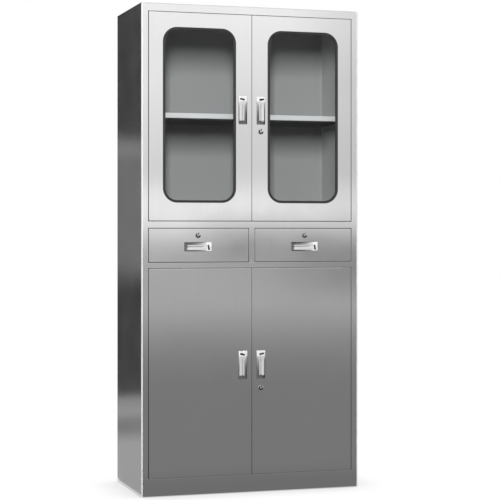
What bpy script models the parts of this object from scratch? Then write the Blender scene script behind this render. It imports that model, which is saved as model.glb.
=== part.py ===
"""Glass-door medical cabinet folded from stainless steel sheet.

Two glazed doors above, two drawers across the middle and two plain doors below.
Metres, +Z up, the front faces -Y, the origin lies on the floor under the middle of the cabinet.
"""

import math
from typing import NamedTuple

import bmesh
import bpy
from mathutils import Matrix, Vector

# Overall size
WIDTH = 0.840
DEPTH = 0.400
HEIGHT = 1.800

# Sheet and fits
SHEET = 0.001
BEND = 0.002  # bend radius at the middle of the sheet
CORNER_BEND = 0.0040  # softer bend on the front edges of the sides
FIT = 0.0003  # gap between pieces that touch
RUN = 0.0004  # gap between pieces that slide

# Front frame
POST_FACE = 0.0256
POST_DEPTH = 0.020
POST_HEM = 0.014
TOP_RAIL = 0.0296
UPPER_RAIL = 0.0242
LOWER_RAIL = 0.0202
PLINTH = 0.0661
DIVIDER_FACE = 0.0227
REAR_FLANGE = 0.020
STOP_LIP = 0.010  # lip behind the doors that they close against
RAIL_LIP = 0.012  # upturned lip that the drawer cams hook behind

# Doors and drawers
DOOR_GAP = 0.0018  # round each door and drawer front
CENTRE_GAP = 0.0014  # between the free edges of a pair of doors
DOOR_DEPTH = 0.018
DOOR_HEM = 0.015
DOOR_BEND = 0.002
UPPER_DOOR = 0.7627  # height
DRAWER_FRONT = 0.1232  # height
PIVOT_IN = 0.010  # pivot axis from the outer edge of the door
PIVOT_BACK = 0.007  # pivot axis behind the front face
PIN_RADIUS = 0.0025
PIN_COLLAR = 0.0045
PIN_REACH = 0.009

# Windows
WINDOW_FREE_STILE = 0.0600  # from the free edge of the door to the seal
WINDOW_PIVOT_STILE = 0.0519
WINDOW_HEAD = 0.0526  # from the top of the door to the seal
WINDOW_FOOT = 0.0661
WINDOW_RADIUS = 0.052
SEAL_LIP = 0.0035  # seal over the steel
SEAL_WEB = 0.0025
SEAL_COVER = 0.0040  # seal over the glass
SEAL_PROUD = 0.0018
GLASS = 0.004

# Stiffener of the plain doors
STIFFENER_WIDTH = 0.060
STIFFENER_FOOT = 0.014
STIFFENER_END = 0.030

# Recessed pulls
PULL_LENGTH = 0.106
PULL_WIDTH = 0.034
PULL_DEPTH = 0.013
PULL_PROUD = 0.0016
PULL_WALL = 0.001
PULL_RIM = 0.0014  # rim past the hole in the sheet
PULL_HEAD = 0.023
PULL_SHOULDER = 0.014  # stretch over which the head narrows to the bar
PULL_BAR = 0.0185
PULL_GRIP = 0.0051  # thickness of the bar
PULL_INSET = 0.035  # centre of a door pull from the middle of the cabinet
UPPER_PULL_LEVEL = 1.417
LOWER_PULL_LEVEL = 0.473
DRAWER_PULL_RISE = 0.0561  # above the foot of the drawer front
DRAWER_PULL_SHIFT = 0.004  # outwards from the middle of the drawer front

# Cam locks
LOCK_BEZEL = 0.0105
LOCK_BARREL = 0.0085
LOCK_BORE = 0.0062
LOCK_PROUD = 0.0025
CAM_REACH = 0.043
CAM_WIDTH = 0.014
CAM_SHEET = 0.002
UPPER_LOCK_DROP = 0.026  # below the end of the door pull
LOWER_LOCK_DROP = 0.0335
DRAWER_LOCK_DROP = 0.0251  # below the top of the drawer front

# Top bolts of the left doors
BOLT_RADIUS = 0.004
BOLT_LENGTH = 0.085
BOLT_IN = 0.0225  # from the free edge of the door
BOLT_KNOB = 0.0025
BOLT_KNOB_DROP = 0.060
BOLT_KNOB_REACH = 0.014
GUIDE_WIDTH = 0.022
GUIDE_SHEET = 0.0015

# Shelves
SHELF_FRONT = 0.050  # behind the front of the cabinet
SHELF_LIP = 0.0195
SHELF_HEM = 0.010
SHELF_CLEAR = 0.0015
UPPER_SHELF_TOP = 1.405
LOWER_SHELF_TOP = 0.460
BEARER_LEG = 0.020
BEARER_LEDGE = 0.015

# Drawers and runners
RUNNER_WIDTH = 0.012
RUNNER_HEIGHT = 0.012
RUNNER_LENGTH = 0.325
RUNNER_DROP = 0.042  # top of the runner below the top of the drawer front
RUNNER_TAB = 0.030
TRAY_LENGTH = 0.325
TRAY_FLOOR = 0.004  # underside of the tray above the foot of the drawer front

# Facets
BEND_STEPS = 2
ROUND_STEPS = 16
PIN_STEPS = 12
CORNER_STEPS = 5
SMOOTH_ANGLE = math.radians(50)

# Lines that follow from the sizes
SIDE = WIDTH / 2
FRONT = -DEPTH / 2
BACK = DEPTH / 2
HALF = SHEET / 2
POST_EDGE = SIDE - POST_FACE
POST_BACK = FRONT + POST_DEPTH
DOOR_OUTER = POST_EDGE - DOOR_GAP
DOOR_INNER = CENTRE_GAP / 2
DOOR_BACK = FRONT + DOOR_DEPTH
STOP_LINE = DOOR_BACK + FIT + HALF
DRAWER_INNER = DIVIDER_FACE / 2 + DOOR_GAP
PANEL_SIDE = SIDE - SHEET - FIT
BACK_FACE = BACK - 2 * SHEET - FIT
PIVOT_X = DOOR_OUTER - PIVOT_IN
PIVOT_Y = FRONT + PIVOT_BACK
SWEEP = math.hypot(PIVOT_IN, DOOR_DEPTH - PIVOT_BACK) + 0.0015  # swing of the back corner of a door
WINDOW_WIDTH = DOOR_OUTER - DOOR_INNER - WINDOW_FREE_STILE - WINDOW_PIVOT_STILE
WINDOW_HEIGHT = UPPER_DOOR - WINDOW_HEAD - WINDOW_FOOT

TOP_RAIL_FOOT = HEIGHT - TOP_RAIL
UPPER_DOOR_TOP = TOP_RAIL_FOOT - DOOR_GAP
UPPER_DOOR_FOOT = UPPER_DOOR_TOP - UPPER_DOOR
UPPER_RAIL_TOP = UPPER_DOOR_FOOT - DOOR_GAP
UPPER_RAIL_FOOT = UPPER_RAIL_TOP - UPPER_RAIL
DRAWER_TOP = UPPER_RAIL_FOOT - DOOR_GAP
DRAWER_FOOT = DRAWER_TOP - DRAWER_FRONT
LOWER_RAIL_TOP = DRAWER_FOOT - DOOR_GAP
LOWER_RAIL_FOOT = LOWER_RAIL_TOP - LOWER_RAIL
LOWER_DOOR_TOP = LOWER_RAIL_FOOT - DOOR_GAP
LOWER_DOOR_FOOT = PLINTH + DOOR_GAP

SIDES = {"left": -1, "right": 1}
AXES = {"X": (1, 2, 0), "Y": (0, 2, 1), "Z": (0, 1, 2)}


class Prism(NamedTuple):
    """A closed outline in two axes, pushed along the third."""

    outline: list
    axis: str
    start: float
    end: float


def rectangle(low, high):
    """Outline of a rectangle between two corners."""
    return [(low[0], low[1]), (high[0], low[1]), (high[0], high[1]), (low[0], high[1])]


def block(low, high):
    """Prism with the given opposite corners."""
    return Prism(rectangle(low, high), "Z", low[2], high[2])


def circle(centre, radius, steps=ROUND_STEPS):
    """Outline of a circle."""
    turns = [2 * math.pi * step / steps for step in range(steps)]
    return [(centre[0] + radius * math.cos(a), centre[1] + radius * math.sin(a)) for a in turns]


def stations(centre, width, height, radius):
    """Points round a rectangle with round corners, each with its outward direction."""
    ring = []
    for quarter, (sx, sy) in enumerate(((1, 1), (-1, 1), (-1, -1), (1, -1))):
        middle = Vector((centre[0] + sx * (width / 2 - radius), centre[1] + sy * (height / 2 - radius)))
        for step in range(CORNER_STEPS + 1):
            angle = math.pi / 2 * (quarter + step / CORNER_STEPS)
            outward = Vector((math.cos(angle), math.sin(angle)))
            ring.append((middle + outward * radius, outward))
    return ring


def rounded(centre, width, height, radius):
    """Outline of a rectangle with round corners."""
    return [tuple(point) for point, _ in stations(centre, width, height, radius)]


def folded(path, radii=BEND):
    """Outline of a sheet folded along a path of its middle line."""
    corners = [Vector(point) for point in path]
    bends = [radii] * (len(path) - 2) if isinstance(radii, float) else list(radii)
    left, right = [], []

    def add(point, normal):
        left.append(tuple(point + normal * HALF))
        right.append(tuple(point - normal * HALF))

    def normal_of(direction):
        return Vector((-direction.y, direction.x))

    add(corners[0], normal_of((corners[1] - corners[0]).normalized()))
    for before, here, after, radius in zip(corners, corners[1:], corners[2:], bends):
        inward = (here - before).normalized()
        onward = (after - here).normalized()
        turn = math.atan2(inward.x * onward.y - inward.y * onward.x, inward.dot(onward))
        side = math.copysign(1, turn)
        centre = here - inward * radius * math.tan(abs(turn) / 2) + normal_of(inward) * radius * side
        for step in range(BEND_STEPS + 1):
            normal = Matrix.Rotation(turn * step / BEND_STEPS, 2) @ normal_of(inward)
            add(centre - normal * radius * side, normal)
    add(corners[-1], normal_of((corners[-1] - corners[-2]).normalized()))
    return left + right[::-1]


def mirrored(outline, side):
    """Outline with its first axis turned over for the left side."""
    return [(side * a, b) for a, b in outline]


def add_prism(bm, prism):
    """Add a closed prism to a mesh under construction."""
    first, second, along = AXES[prism.axis]
    rings = []
    for depth in (prism.start, prism.end):
        ring = []
        for a, b in prism.outline:
            place = [0.0, 0.0, 0.0]
            place[first], place[second], place[along] = a, b, depth
            ring.append(bm.verts.new(place))
        rings.append(ring)
    low, high = rings
    bm.faces.new(low)
    bm.faces.new(high)
    for index in range(len(low)):
        after = (index + 1) % len(low)
        bm.faces.new((low[index], low[after], high[after], high[index]))


def add_rings(bm, rings, closed):
    """Skin equal rings of points, joining the last to the first if closed."""
    loops = [[bm.verts.new(point) for point in ring] for ring in rings]
    pairs = list(zip(loops, loops[1:] + loops[:1])) if closed else list(zip(loops, loops[1:]))
    for low, high in pairs:
        for index in range(len(low)):
            after = (index + 1) % len(low)
            bm.faces.new((low[index], low[after], high[after], high[index]))
    if not closed:
        bm.faces.new(loops[0])
        bm.faces.new(loops[-1])


def finish(name, bm, material):
    """Turn the faces outwards and make an object of the mesh."""
    bmesh.ops.recalc_face_normals(bm, faces=bm.faces)
    mesh = bpy.data.meshes.new(name)
    bm.to_mesh(mesh)
    bm.free()
    mesh.shade_smooth()
    mesh.set_sharp_from_angle(angle=SMOOTH_ANGLE)
    if material:
        mesh.materials.append(material)
    piece = bpy.data.objects.new(name, mesh)
    bpy.context.scene.collection.objects.link(piece)
    return piece


def solid(name, prisms, material):
    """Object made of one or more prisms."""
    bm = bmesh.new()
    for prism in prisms:
        add_prism(bm, prism)
    return finish(name, bm, material)


def turned(name, profile, material, hollow=False, steps=PIN_STEPS):
    """Solid of revolution round Z from points of radius and height, a closed loop if hollow."""
    bm = bmesh.new()
    rings = []
    for radius, height in profile:
        rings.append([(x, y, height) for x, y in circle((0, 0), radius, steps)])
    add_rings(bm, rings, closed=hollow)
    return finish(name, bm, material)


def pan(name, low, high, gap_face, hem, material):
    """Folded pan with one face left off, or turned in as a hem of the given width."""
    bm = bmesh.new()
    add_prism(bm, block(low, high))
    bmesh.ops.recalc_face_normals(bm, faces=bm.faces)
    missing = max(bm.faces, key=lambda face: face.normal.dot(Vector(gap_face)))
    if hem:
        bmesh.ops.inset_individual(bm, faces=[missing], thickness=hem)
    bmesh.ops.delete(bm, geom=[missing], context="FACES")
    piece = finish(name, bm, material)
    edges = piece.modifiers.new("bends", "BEVEL")
    edges.width = DOOR_BEND
    edges.segments = 2
    edges.limit_method = "ANGLE"
    walls = piece.modifiers.new("sheet", "SOLIDIFY")
    walls.thickness = SHEET
    walls.offset = -1
    walls.use_even_offset = True
    return piece


def combine(piece, prisms, operation):
    """Cut prisms out of a piece or join them to it."""
    tool = solid(f"{piece.name}_{operation.lower()}", prisms, None)
    tool.hide_render = True
    tool.display_type = "WIRE"
    boolean = piece.modifiers.new(operation.lower(), "BOOLEAN")
    boolean.operation = operation
    boolean.solver = "EXACT"
    boolean.object = tool
    return piece


def cut(piece, *prisms):
    """Take prisms away from a piece."""
    return combine(piece, prisms, "DIFFERENCE")


def join(piece, *prisms):
    """Join overlapping prisms to a piece."""
    for prism in prisms:
        combine(piece, [prism], "UNION")
    return piece


def baked(piece):
    """Final mesh of a piece, with the piece and its tools taken away."""
    graph = bpy.context.evaluated_depsgraph_get()
    mesh = bpy.data.meshes.new_from_object(piece.evaluated_get(graph))
    tools = [step.object for step in piece.modifiers]
    for done in [piece, *tools]:
        bpy.data.objects.remove(done)
    return mesh


def on_front(name, mesh, x, z, turn=0.0, flip=False):
    """Place a mesh drawn as seen from the front, with its third axis outwards."""
    piece = bpy.data.objects.new(name, mesh)
    bpy.context.scene.collection.objects.link(piece)
    piece.location = (x, FRONT, z)
    piece.rotation_euler = (math.pi / 2, -turn, 0)
    if flip:
        piece.scale = (-1, 1, 1)
    return piece


def carrier(name, place, *pieces):
    """Empty on a joint's axis that carries the pieces that move with it."""
    empty = bpy.data.objects.new(name, None)
    empty.location = place
    bpy.context.scene.collection.objects.link(empty)
    for piece in pieces:
        piece.parent = empty
        piece.matrix_parent_inverse = Matrix.Translation(-Vector(place))
    return empty


def surface(name, colour, metallic, roughness, transmission=0.0):
    """Simple material for the CAD views."""
    material = bpy.data.materials.new(name)
    material.diffuse_color = (*colour, 1.0)
    material.use_nodes = True
    shader = material.node_tree.nodes["Principled BSDF"]
    shader.inputs["Base Color"].default_value = (*colour, 1.0)
    shader.inputs["Metallic"].default_value = metallic
    shader.inputs["Roughness"].default_value = roughness
    shader.inputs["Transmission Weight"].default_value = transmission
    return material


def side_panel(side, name, steel):
    """Side with a boxed front post and a rear flange, folded from one sheet."""
    path = [
        (SIDE - REAR_FLANGE, BACK - HALF),
        (SIDE - HALF, BACK - HALF),
        (SIDE - HALF, FRONT + HALF),
        (POST_EDGE + HALF, FRONT + HALF),
        (POST_EDGE + HALF, POST_BACK - HALF),
        (POST_EDGE + POST_HEM, POST_BACK - HALF),
    ]
    outline = folded(path, [BEND, CORNER_BEND, BEND, BEND])
    return solid(name, [Prism(mirrored(outline, side), "Z", 0.0, HEIGHT - SHEET - FIT)], steel)


def both_sides(low, high):
    """Blocks with the given corners on the right and their mirror images on the left."""
    left_low, left_high = (-high[0], low[1], low[2]), (-low[0], high[1], high[2])
    return [block(low, high), block(left_low, left_high)]


def post_notches(foot, head):
    """Room for the two posts in the front corners of a panel."""
    return both_sides((POST_EDGE - FIT, FRONT - 0.01, foot), (SIDE + 0.01, POST_BACK + FIT, head))


def rear_notches(foot, head):
    """Room for the two rear flanges of the sides in the back corners of a panel."""
    inner = SIDE - REAR_FLANGE - FIT
    return both_sides((inner, BACK - SHEET - BEND - FIT, foot), (SIDE + 0.01, BACK + 0.01, head))


def swing_notches(foot, head):
    """Room for the back corners of the doors as they swing past a stop."""
    return both_sides((PIVOT_X - SWEEP, FRONT - 0.01, foot), (SIDE + 0.01, PIVOT_Y + SWEEP, head))


def pivot_holes(level):
    """Holes for the pivot pins through the sheet at one level."""
    holes = []
    for side in SIDES.values():
        outline = circle((side * PIVOT_X, PIVOT_Y), PIN_RADIUS + FIT, PIN_STEPS)
        holes.append(Prism(outline, "Z", level - 2 * SHEET, level + 2 * SHEET))
    return holes


def bolt_place():
    """Plan position of the top bolts of the left doors."""
    return (-(DOOR_INNER + BOLT_IN), FRONT + DOOR_DEPTH / 2)


def bolt_hole(low, high):
    """Hole for a top bolt between two levels."""
    return Prism(circle(bolt_place(), BOLT_RADIUS + RUN, PIN_STEPS), "Z", low, high)


def carcass(steel):
    """Sides, top, base, back, decks and the upright between the drawers."""
    for word, side in SIDES.items():
        side_panel(side, f"{word}_side_panel", steel)

    ledge = TOP_RAIL_FOOT + HALF
    path = [
        (STOP_LINE, ledge - STOP_LIP),
        (STOP_LINE, ledge),
        (FRONT + HALF, ledge),
        (FRONT + HALF, HEIGHT - HALF),
        (BACK - HALF, HEIGHT - HALF),
        (BACK - HALF, HEIGHT - REAR_FLANGE),
    ]
    top = solid("top_panel", [Prism(folded(path), "X", -SIDE, SIDE)], steel)
    under_top = HEIGHT - SHEET - FIT
    cut(top, *post_notches(ledge - 0.05, under_top), *rear_notches(ledge - 0.05, under_top))
    cut(top, *swing_notches(ledge - 0.05, TOP_RAIL_FOOT - SHEET))
    cut(top, *pivot_holes(ledge), bolt_hole(ledge - 2 * SHEET, ledge + 2 * SHEET))

    ledge = PLINTH - HALF
    floor = ledge + STOP_LIP
    path = [
        (POST_BACK, HALF),
        (FRONT + HALF, HALF),
        (FRONT + HALF, ledge),
        (STOP_LINE, ledge),
        (STOP_LINE, floor),
        (BACK - HALF, floor),
        (BACK - HALF, HALF),
        (BACK - REAR_FLANGE, HALF),
    ]
    base = solid("base_panel", [Prism(folded(path), "X", -PANEL_SIDE, PANEL_SIDE)], steel)
    cut(base, *post_notches(-0.01, floor + 0.01), *rear_notches(-0.01, floor + 0.01))
    cut(base, *swing_notches(PLINTH + SHEET, floor + 0.01))
    cut(base, *pivot_holes(ledge))

    reach = PANEL_SIDE - BEND
    foot, head = floor + HALF + FIT, HEIGHT - SHEET - BEND - FIT
    solid("back_panel", [block((-reach, BACK_FACE, foot), (reach, BACK_FACE + SHEET, head))], steel)

    rear = BACK_FACE - FIT - HALF
    ledge = UPPER_RAIL_TOP - HALF
    floor = ledge + STOP_LIP
    foot = UPPER_RAIL_FOOT + HALF
    path = [
        (rear, floor - REAR_FLANGE),
        (rear, floor),
        (STOP_LINE, floor),
        (STOP_LINE, ledge),
        (FRONT + HALF, ledge),
        (FRONT + HALF, foot),
        (STOP_LINE, foot),
        (STOP_LINE, foot + RAIL_LIP),
    ]
    deck = solid("upper_deck", [Prism(folded(path), "X", -PANEL_SIDE, PANEL_SIDE)], steel)
    cut(deck, *post_notches(foot - 0.01, floor + 0.01))
    cut(deck, *swing_notches(UPPER_RAIL_TOP + SHEET, floor + 0.01))
    cut(deck, *pivot_holes(ledge))

    ledge = LOWER_RAIL_FOOT + HALF
    floor = LOWER_RAIL_TOP - HALF
    path = [
        (rear, floor - REAR_FLANGE),
        (rear, floor),
        (FRONT + HALF, floor),
        (FRONT + HALF, ledge),
        (STOP_LINE, ledge),
        (STOP_LINE, ledge - STOP_LIP),
    ]
    deck = solid("lower_deck", [Prism(folded(path), "X", -PANEL_SIDE, PANEL_SIDE)], steel)
    cut(deck, *post_notches(ledge - 0.05, floor + 0.01))
    cut(deck, *swing_notches(ledge - 0.05, LOWER_RAIL_FOOT - SHEET))
    cut(deck, *pivot_holes(ledge), bolt_hole(ledge - 2 * SHEET, ledge + 2 * SHEET))

    edge = DIVIDER_FACE / 2 - HALF
    path = [(-edge, rear), (-edge, FRONT + HALF), (edge, FRONT + HALF), (edge, rear)]
    foot, head = LOWER_RAIL_TOP + FIT, UPPER_RAIL_FOOT - FIT
    solid("drawer_divider", [Prism(folded(path), "Z", foot, head)], steel)


def shelf(level, top, steel):
    """Folded shelf on two angle bearers."""
    reach = SIDE - SHEET - SHELF_CLEAR
    front, rear = FRONT + SHELF_FRONT, BACK_FACE - SHELF_CLEAR
    pan(f"{level}_shelf", (-reach, front, top - SHELF_LIP), (reach, rear, top), (0, 0, -1), SHELF_HEM, steel)
    ledge = top - SHELF_LIP - FIT - HALF
    wall = PANEL_SIDE - HALF
    path = [(wall, ledge - BEARER_LEG), (wall, ledge), (wall - BEARER_LEDGE, ledge)]
    for word, side in SIDES.items():
        bearer = Prism(mirrored(folded(path), side), "Y", front + BEARER_LEG, rear - BEARER_LEG)
        solid(f"{level}_{word}_shelf_bearer", [bearer], steel)


def pivot_pins(level, foot, top, steel):
    """Pins on which a pair of doors turns, hung in the rail above and stood on the rail below."""
    head = [
        (PIN_RADIUS, top - PIN_REACH),
        (PIN_RADIUS, top + DOOR_GAP + SHEET + FIT),
        (PIN_COLLAR, top + DOOR_GAP + SHEET + FIT),
        (PIN_COLLAR, top + DOOR_GAP + 3 * SHEET),
    ]
    stand = [
        (PIN_RADIUS, foot - DOOR_GAP - PIN_REACH),
        (PIN_RADIUS, foot - DOOR_GAP + FIT),
        (PIN_COLLAR, foot - DOOR_GAP + FIT),
        (PIN_COLLAR, foot - FIT),
        (PIN_RADIUS, foot - FIT),
        (PIN_RADIUS, foot + PIN_REACH),
    ]
    for word, side in SIDES.items():
        for end, profile in (("top", head), ("foot", stand)):
            pin = turned(f"{level}_{word}_{end}_pin", profile, steel)
            pin.location = (side * PIVOT_X, PIVOT_Y, 0)


def pull_mesh(chrome):
    """Recessed pull seen from the front: head at the top, hollow on the left and at the foot."""
    wide, tall = PULL_WIDTH / 2 - PULL_RIM, PULL_LENGTH / 2 - PULL_RIM
    hollow, foot = wide - PULL_WALL, -(tall - PULL_WALL)
    neck = PULL_LENGTH / 2 - PULL_HEAD
    floor = -PULL_DEPTH + PULL_WALL
    crown = FIT + PULL_PROUD
    pull = solid("pull", [Prism(rounded((0, 0), PULL_WIDTH, PULL_LENGTH, 0.002), "Z", FIT, crown)], chrome)
    join(pull, Prism(rounded((0, 0), 2 * wide, 2 * tall, 0.002), "Z", -PULL_DEPTH, (FIT + crown) / 2))
    ramp_foot = neck - 0.040
    pocket = [(neck, 0.010), (neck, 0.0004), (ramp_foot, floor), (foot, floor), (foot, 0.010)]
    cut(pull, Prism(pocket, "X", -hollow, hollow))
    end = foot + 0.0095
    bar_edge = hollow - 0.0022
    ridge = crown + 0.0004
    under = ridge - PULL_GRIP
    bar = [
        (neck + 0.003, ridge),
        (end + 0.0015, ridge),
        (end, ridge - 0.0015),
        (end, floor - PULL_WALL / 2),
        (end + 0.0045, floor - PULL_WALL / 2),
        (end + 0.0055, under),
        (neck + 0.003, under),
    ]
    join(pull, Prism(bar, "X", bar_edge - PULL_BAR, bar_edge))
    crest = PULL_LENGTH / 2 - 0.0012
    head = [(neck - 0.0005, 0.0008), (neck - 0.0005, crown + 0.0006), (neck + 0.001, crown + 0.0012)]
    head += [(crest - 0.0015, crown + 0.0012), (crest, crown + 0.0006), (crest, 0.0008)]
    reach = PULL_WIDTH / 2 - 0.0012
    join(pull, Prism(head, "X", -reach, reach))
    flare = [(-reach, neck + 0.001), (bar_edge - PULL_BAR, neck - PULL_SHOULDER)]
    flare += [(bar_edge, neck - PULL_SHOULDER), (reach, neck + 0.001)]
    join(pull, Prism(flare, "Z", under, ridge))
    slope = Matrix.Rotation(math.radians(17), 2)
    middle = Vector((0.0, PULL_LENGTH / 2 - 0.0125))
    slot = [tuple(middle + slope @ Vector(point)) for point in rounded((0, 0), 0.0165, 0.0052, 0.0012)]
    flute = bar_edge - PULL_BAR / 2
    groove = [(flute - 0.0035, crown + 0.001), (flute, crown - 0.0008), (flute + 0.0035, crown + 0.001)]
    cut(pull, Prism(slot, "Z", crown - 0.0008, crown + 0.005))
    cut(pull, Prism(groove, "Y", end + 0.004, neck - 0.002))
    return baked(pull)


def lock_meshes(chrome, steel):
    """Body, plug and cam of a cam lock, seen from the front with the cam hanging down."""
    rear = -(DOOR_DEPTH + 0.0015)
    body = turned(
        "lock_body",
        [
            (LOCK_BORE, rear),
            (LOCK_BARREL, rear),
            (LOCK_BARREL, FIT),
            (LOCK_BEZEL, FIT),
            (LOCK_BEZEL, LOCK_PROUD - 0.0008),
            (LOCK_BEZEL - 0.0012, LOCK_PROUD),
            (LOCK_BORE, LOCK_PROUD),
        ],
        chrome,
        hollow=True,
        steps=ROUND_STEPS,
    )
    cam_back = rear - FIT - CAM_SHEET
    plug_radius = LOCK_BORE - FIT
    plug = turned(
        "lock_plug",
        [
            (plug_radius - 0.001, cam_back - FIT - 0.002),
            (plug_radius - 0.001, cam_back - FIT),
            (plug_radius / 2, cam_back - FIT),
            (plug_radius / 2, rear),
            (plug_radius, rear),
            (plug_radius, LOCK_PROUD - 0.0004),
        ],
        chrome,
        steps=ROUND_STEPS,
    )
    cut(plug, block((-0.0007, -0.0036, LOCK_PROUD - 0.004), (0.0007, 0.0036, LOCK_PROUD + 0.002)))
    wide = CAM_WIDTH / 2
    arc = [math.pi * step / 8 for step in range(9)]
    outline = [(wide * math.cos(a), wide * math.sin(a)) for a in arc]
    outline += [(-wide, -CAM_REACH + 0.003), (-wide + 0.003, -CAM_REACH)]
    outline += [(wide - 0.003, -CAM_REACH), (wide, -CAM_REACH + 0.003)]
    cam = solid("lock_cam", [Prism(outline, "Z", cam_back, rear - FIT)], steel)
    cut(cam, Prism(circle((0, 0), plug_radius / 2 + FIT), "Z", cam_back - 0.01, rear + 0.01))
    return baked(body), baked(plug), baked(cam)


def lock(name, meshes, x, z, turn):
    """Cam lock set in a door or drawer front; the plug and cam turn together."""
    body, plug, cam = meshes
    case = on_front(f"{name}_lock_body", body, x, z)
    core = on_front(f"{name}_lock_plug", plug, x, z)
    arm = on_front(f"{name}_lock_cam", cam, x, z, turn)
    return case, carrier(f"{name}_lock_axis", (x, FRONT, z), core, arm)


def pull_hole(x, z, tall=True):
    """Hole in the sheet for the cup of a pull."""
    wide, long = PULL_WIDTH - 2 * PULL_RIM + 2 * FIT, PULL_LENGTH - 2 * PULL_RIM + 2 * FIT
    width, height = (wide, long) if tall else (long, wide)
    return Prism(rounded((x, z), width, height, 0.002), "Y", FRONT - 0.005, FRONT + 0.005)


def lock_hole(x, z):
    """Hole in the sheet for the barrel of a lock."""
    return Prism(circle((x, z), LOCK_BARREL + FIT), "Y", FRONT - 0.005, FRONT + 0.005)


def bolt_mesh(steel):
    """Round bolt with a thumb pin, its top end at the origin."""
    bolt = turned("bolt", [(BOLT_RADIUS, -BOLT_LENGTH), (BOLT_RADIUS, 0.0)], steel)
    join(bolt, Prism(circle((0, -BOLT_KNOB_DROP), BOLT_KNOB, PIN_STEPS), "Y", 0.0, BOLT_KNOB_REACH))
    return baked(bolt)


def door_leaf(name, side, foot, top, steel):
    """Pan of one door with the holes for its pivot pins."""
    low = (side * DOOR_OUTER, FRONT, foot)
    high = (side * DOOR_INNER, DOOR_BACK, top)
    corners = [tuple(map(min, low, high)), tuple(map(max, low, high))]
    leaf = pan(name, *corners, (0, 1, 0), DOOR_HEM, steel)
    pivot = circle((side * PIVOT_X, PIVOT_Y), PIN_RADIUS + FIT, PIN_STEPS)
    holes = [Prism(pivot, "Z", foot - 0.005, foot + 0.005), Prism(pivot, "Z", top - 0.005, top + 0.005)]
    if side < 0:
        x, y = bolt_place()
        seat = top + 0.0005 - BOLT_KNOB_DROP - BOLT_KNOB - FIT
        guide_low = (x - GUIDE_WIDTH / 2, FRONT + HALF, seat - GUIDE_SHEET)
        join(leaf, block(guide_low, (x + GUIDE_WIDTH / 2, DOOR_BACK - SHEET - FIT, seat)))
        holes.append(bolt_hole(seat - 0.005, top + 0.005))
    return cut(leaf, *holes)


def window(word, centre, rubber, clear):
    """Seal and pane of one glazed door."""
    grip = SEAL_LIP + SEAL_WEB
    cover = grip + SEAL_COVER
    over = -FIT
    profile = [
        (0.0, over),
        (-0.0006, over - 0.6 * SEAL_PROUD),
        (-0.0018, over - SEAL_PROUD),
        (-0.45 * cover, over - 0.9 * SEAL_PROUD),
        (-0.52 * cover, over - 0.5 * SEAL_PROUD),
        (-0.60 * cover, over - 0.9 * SEAL_PROUD),
        (-cover + 0.0016, over - 0.8 * SEAL_PROUD),
        (-cover, over - 0.2 * SEAL_PROUD),
        (-cover, over),
        (-grip + FIT, over),
        (-grip + FIT, GLASS + FIT),
        (-cover, GLASS + FIT),
        (-cover + 0.0008, GLASS + FIT + 0.0015),
        (-SEAL_LIP - FIT, GLASS + FIT + 0.0015),
        (-0.0005, SHEET + FIT + 0.0015),
        (-0.0005, SHEET + FIT),
        (-SEAL_LIP - FIT, SHEET + FIT),
        (-SEAL_LIP - FIT, over),
    ]
    bm = bmesh.new()
    rings = []
    for point, outward in stations(centre, WINDOW_WIDTH, WINDOW_HEIGHT, WINDOW_RADIUS):
        ring = []
        for reach, depth in profile:
            spot = point + outward * reach
            ring.append((spot.x, FRONT + depth, spot.y))
        rings.append(ring)
    add_rings(bm, rings, closed=True)
    seal = finish(f"upper_{word}_window_seal", bm, rubber)
    edge = rounded(centre, WINDOW_WIDTH - 2 * grip, WINDOW_HEIGHT - 2 * grip, WINDOW_RADIUS - grip)
    pane = solid(f"upper_{word}_window_glass", [Prism(edge, "Y", FRONT, FRONT + GLASS)], clear)
    return seal, pane


def upper_door(word, side, pull, lock_set, bolt, steel, rubber, clear):
    """Glazed door with everything that swings with it."""
    name = f"upper_{word}"
    leaf = door_leaf(f"{name}_door_frame", side, UPPER_DOOR_FOOT, UPPER_DOOR_TOP, steel)
    across = DOOR_INNER + WINDOW_FREE_STILE + WINDOW_WIDTH / 2
    centre = (side * across, UPPER_DOOR_FOOT + WINDOW_FOOT + WINDOW_HEIGHT / 2)
    light = (WINDOW_WIDTH - 2 * SEAL_LIP, WINDOW_HEIGHT - 2 * SEAL_LIP, WINDOW_RADIUS - SEAL_LIP)
    opening = Prism(rounded(centre, *light), "Y", FRONT - 0.005, FRONT + 0.005)
    x = side * PULL_INSET
    lock_z = UPPER_PULL_LEVEL - PULL_LENGTH / 2 - UPPER_LOCK_DROP
    cut(leaf, opening, pull_hole(x, UPPER_PULL_LEVEL), *([lock_hole(x, lock_z)] if side > 0 else []))
    pieces = [leaf, *window(word, centre, rubber, clear)]
    pieces.append(on_front(f"{name}_pull", pull, x, UPPER_PULL_LEVEL, flip=side < 0))
    if side > 0:
        pieces.extend(lock(name, lock_set, x, lock_z, 0.0))
    else:
        pieces.append(hung_bolt(name, bolt, UPPER_DOOR_TOP))
    carrier(f"{name}_door_axis", (side * PIVOT_X, PIVOT_Y, UPPER_DOOR_FOOT), *pieces)


def hung_bolt(name, bolt, top):
    """Top bolt of a left door in its lowered place."""
    piece = bpy.data.objects.new(f"{name}_door_bolt", bolt)
    bpy.context.scene.collection.objects.link(piece)
    piece.location = (*bolt_place(), top + 0.0005)
    return piece


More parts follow.
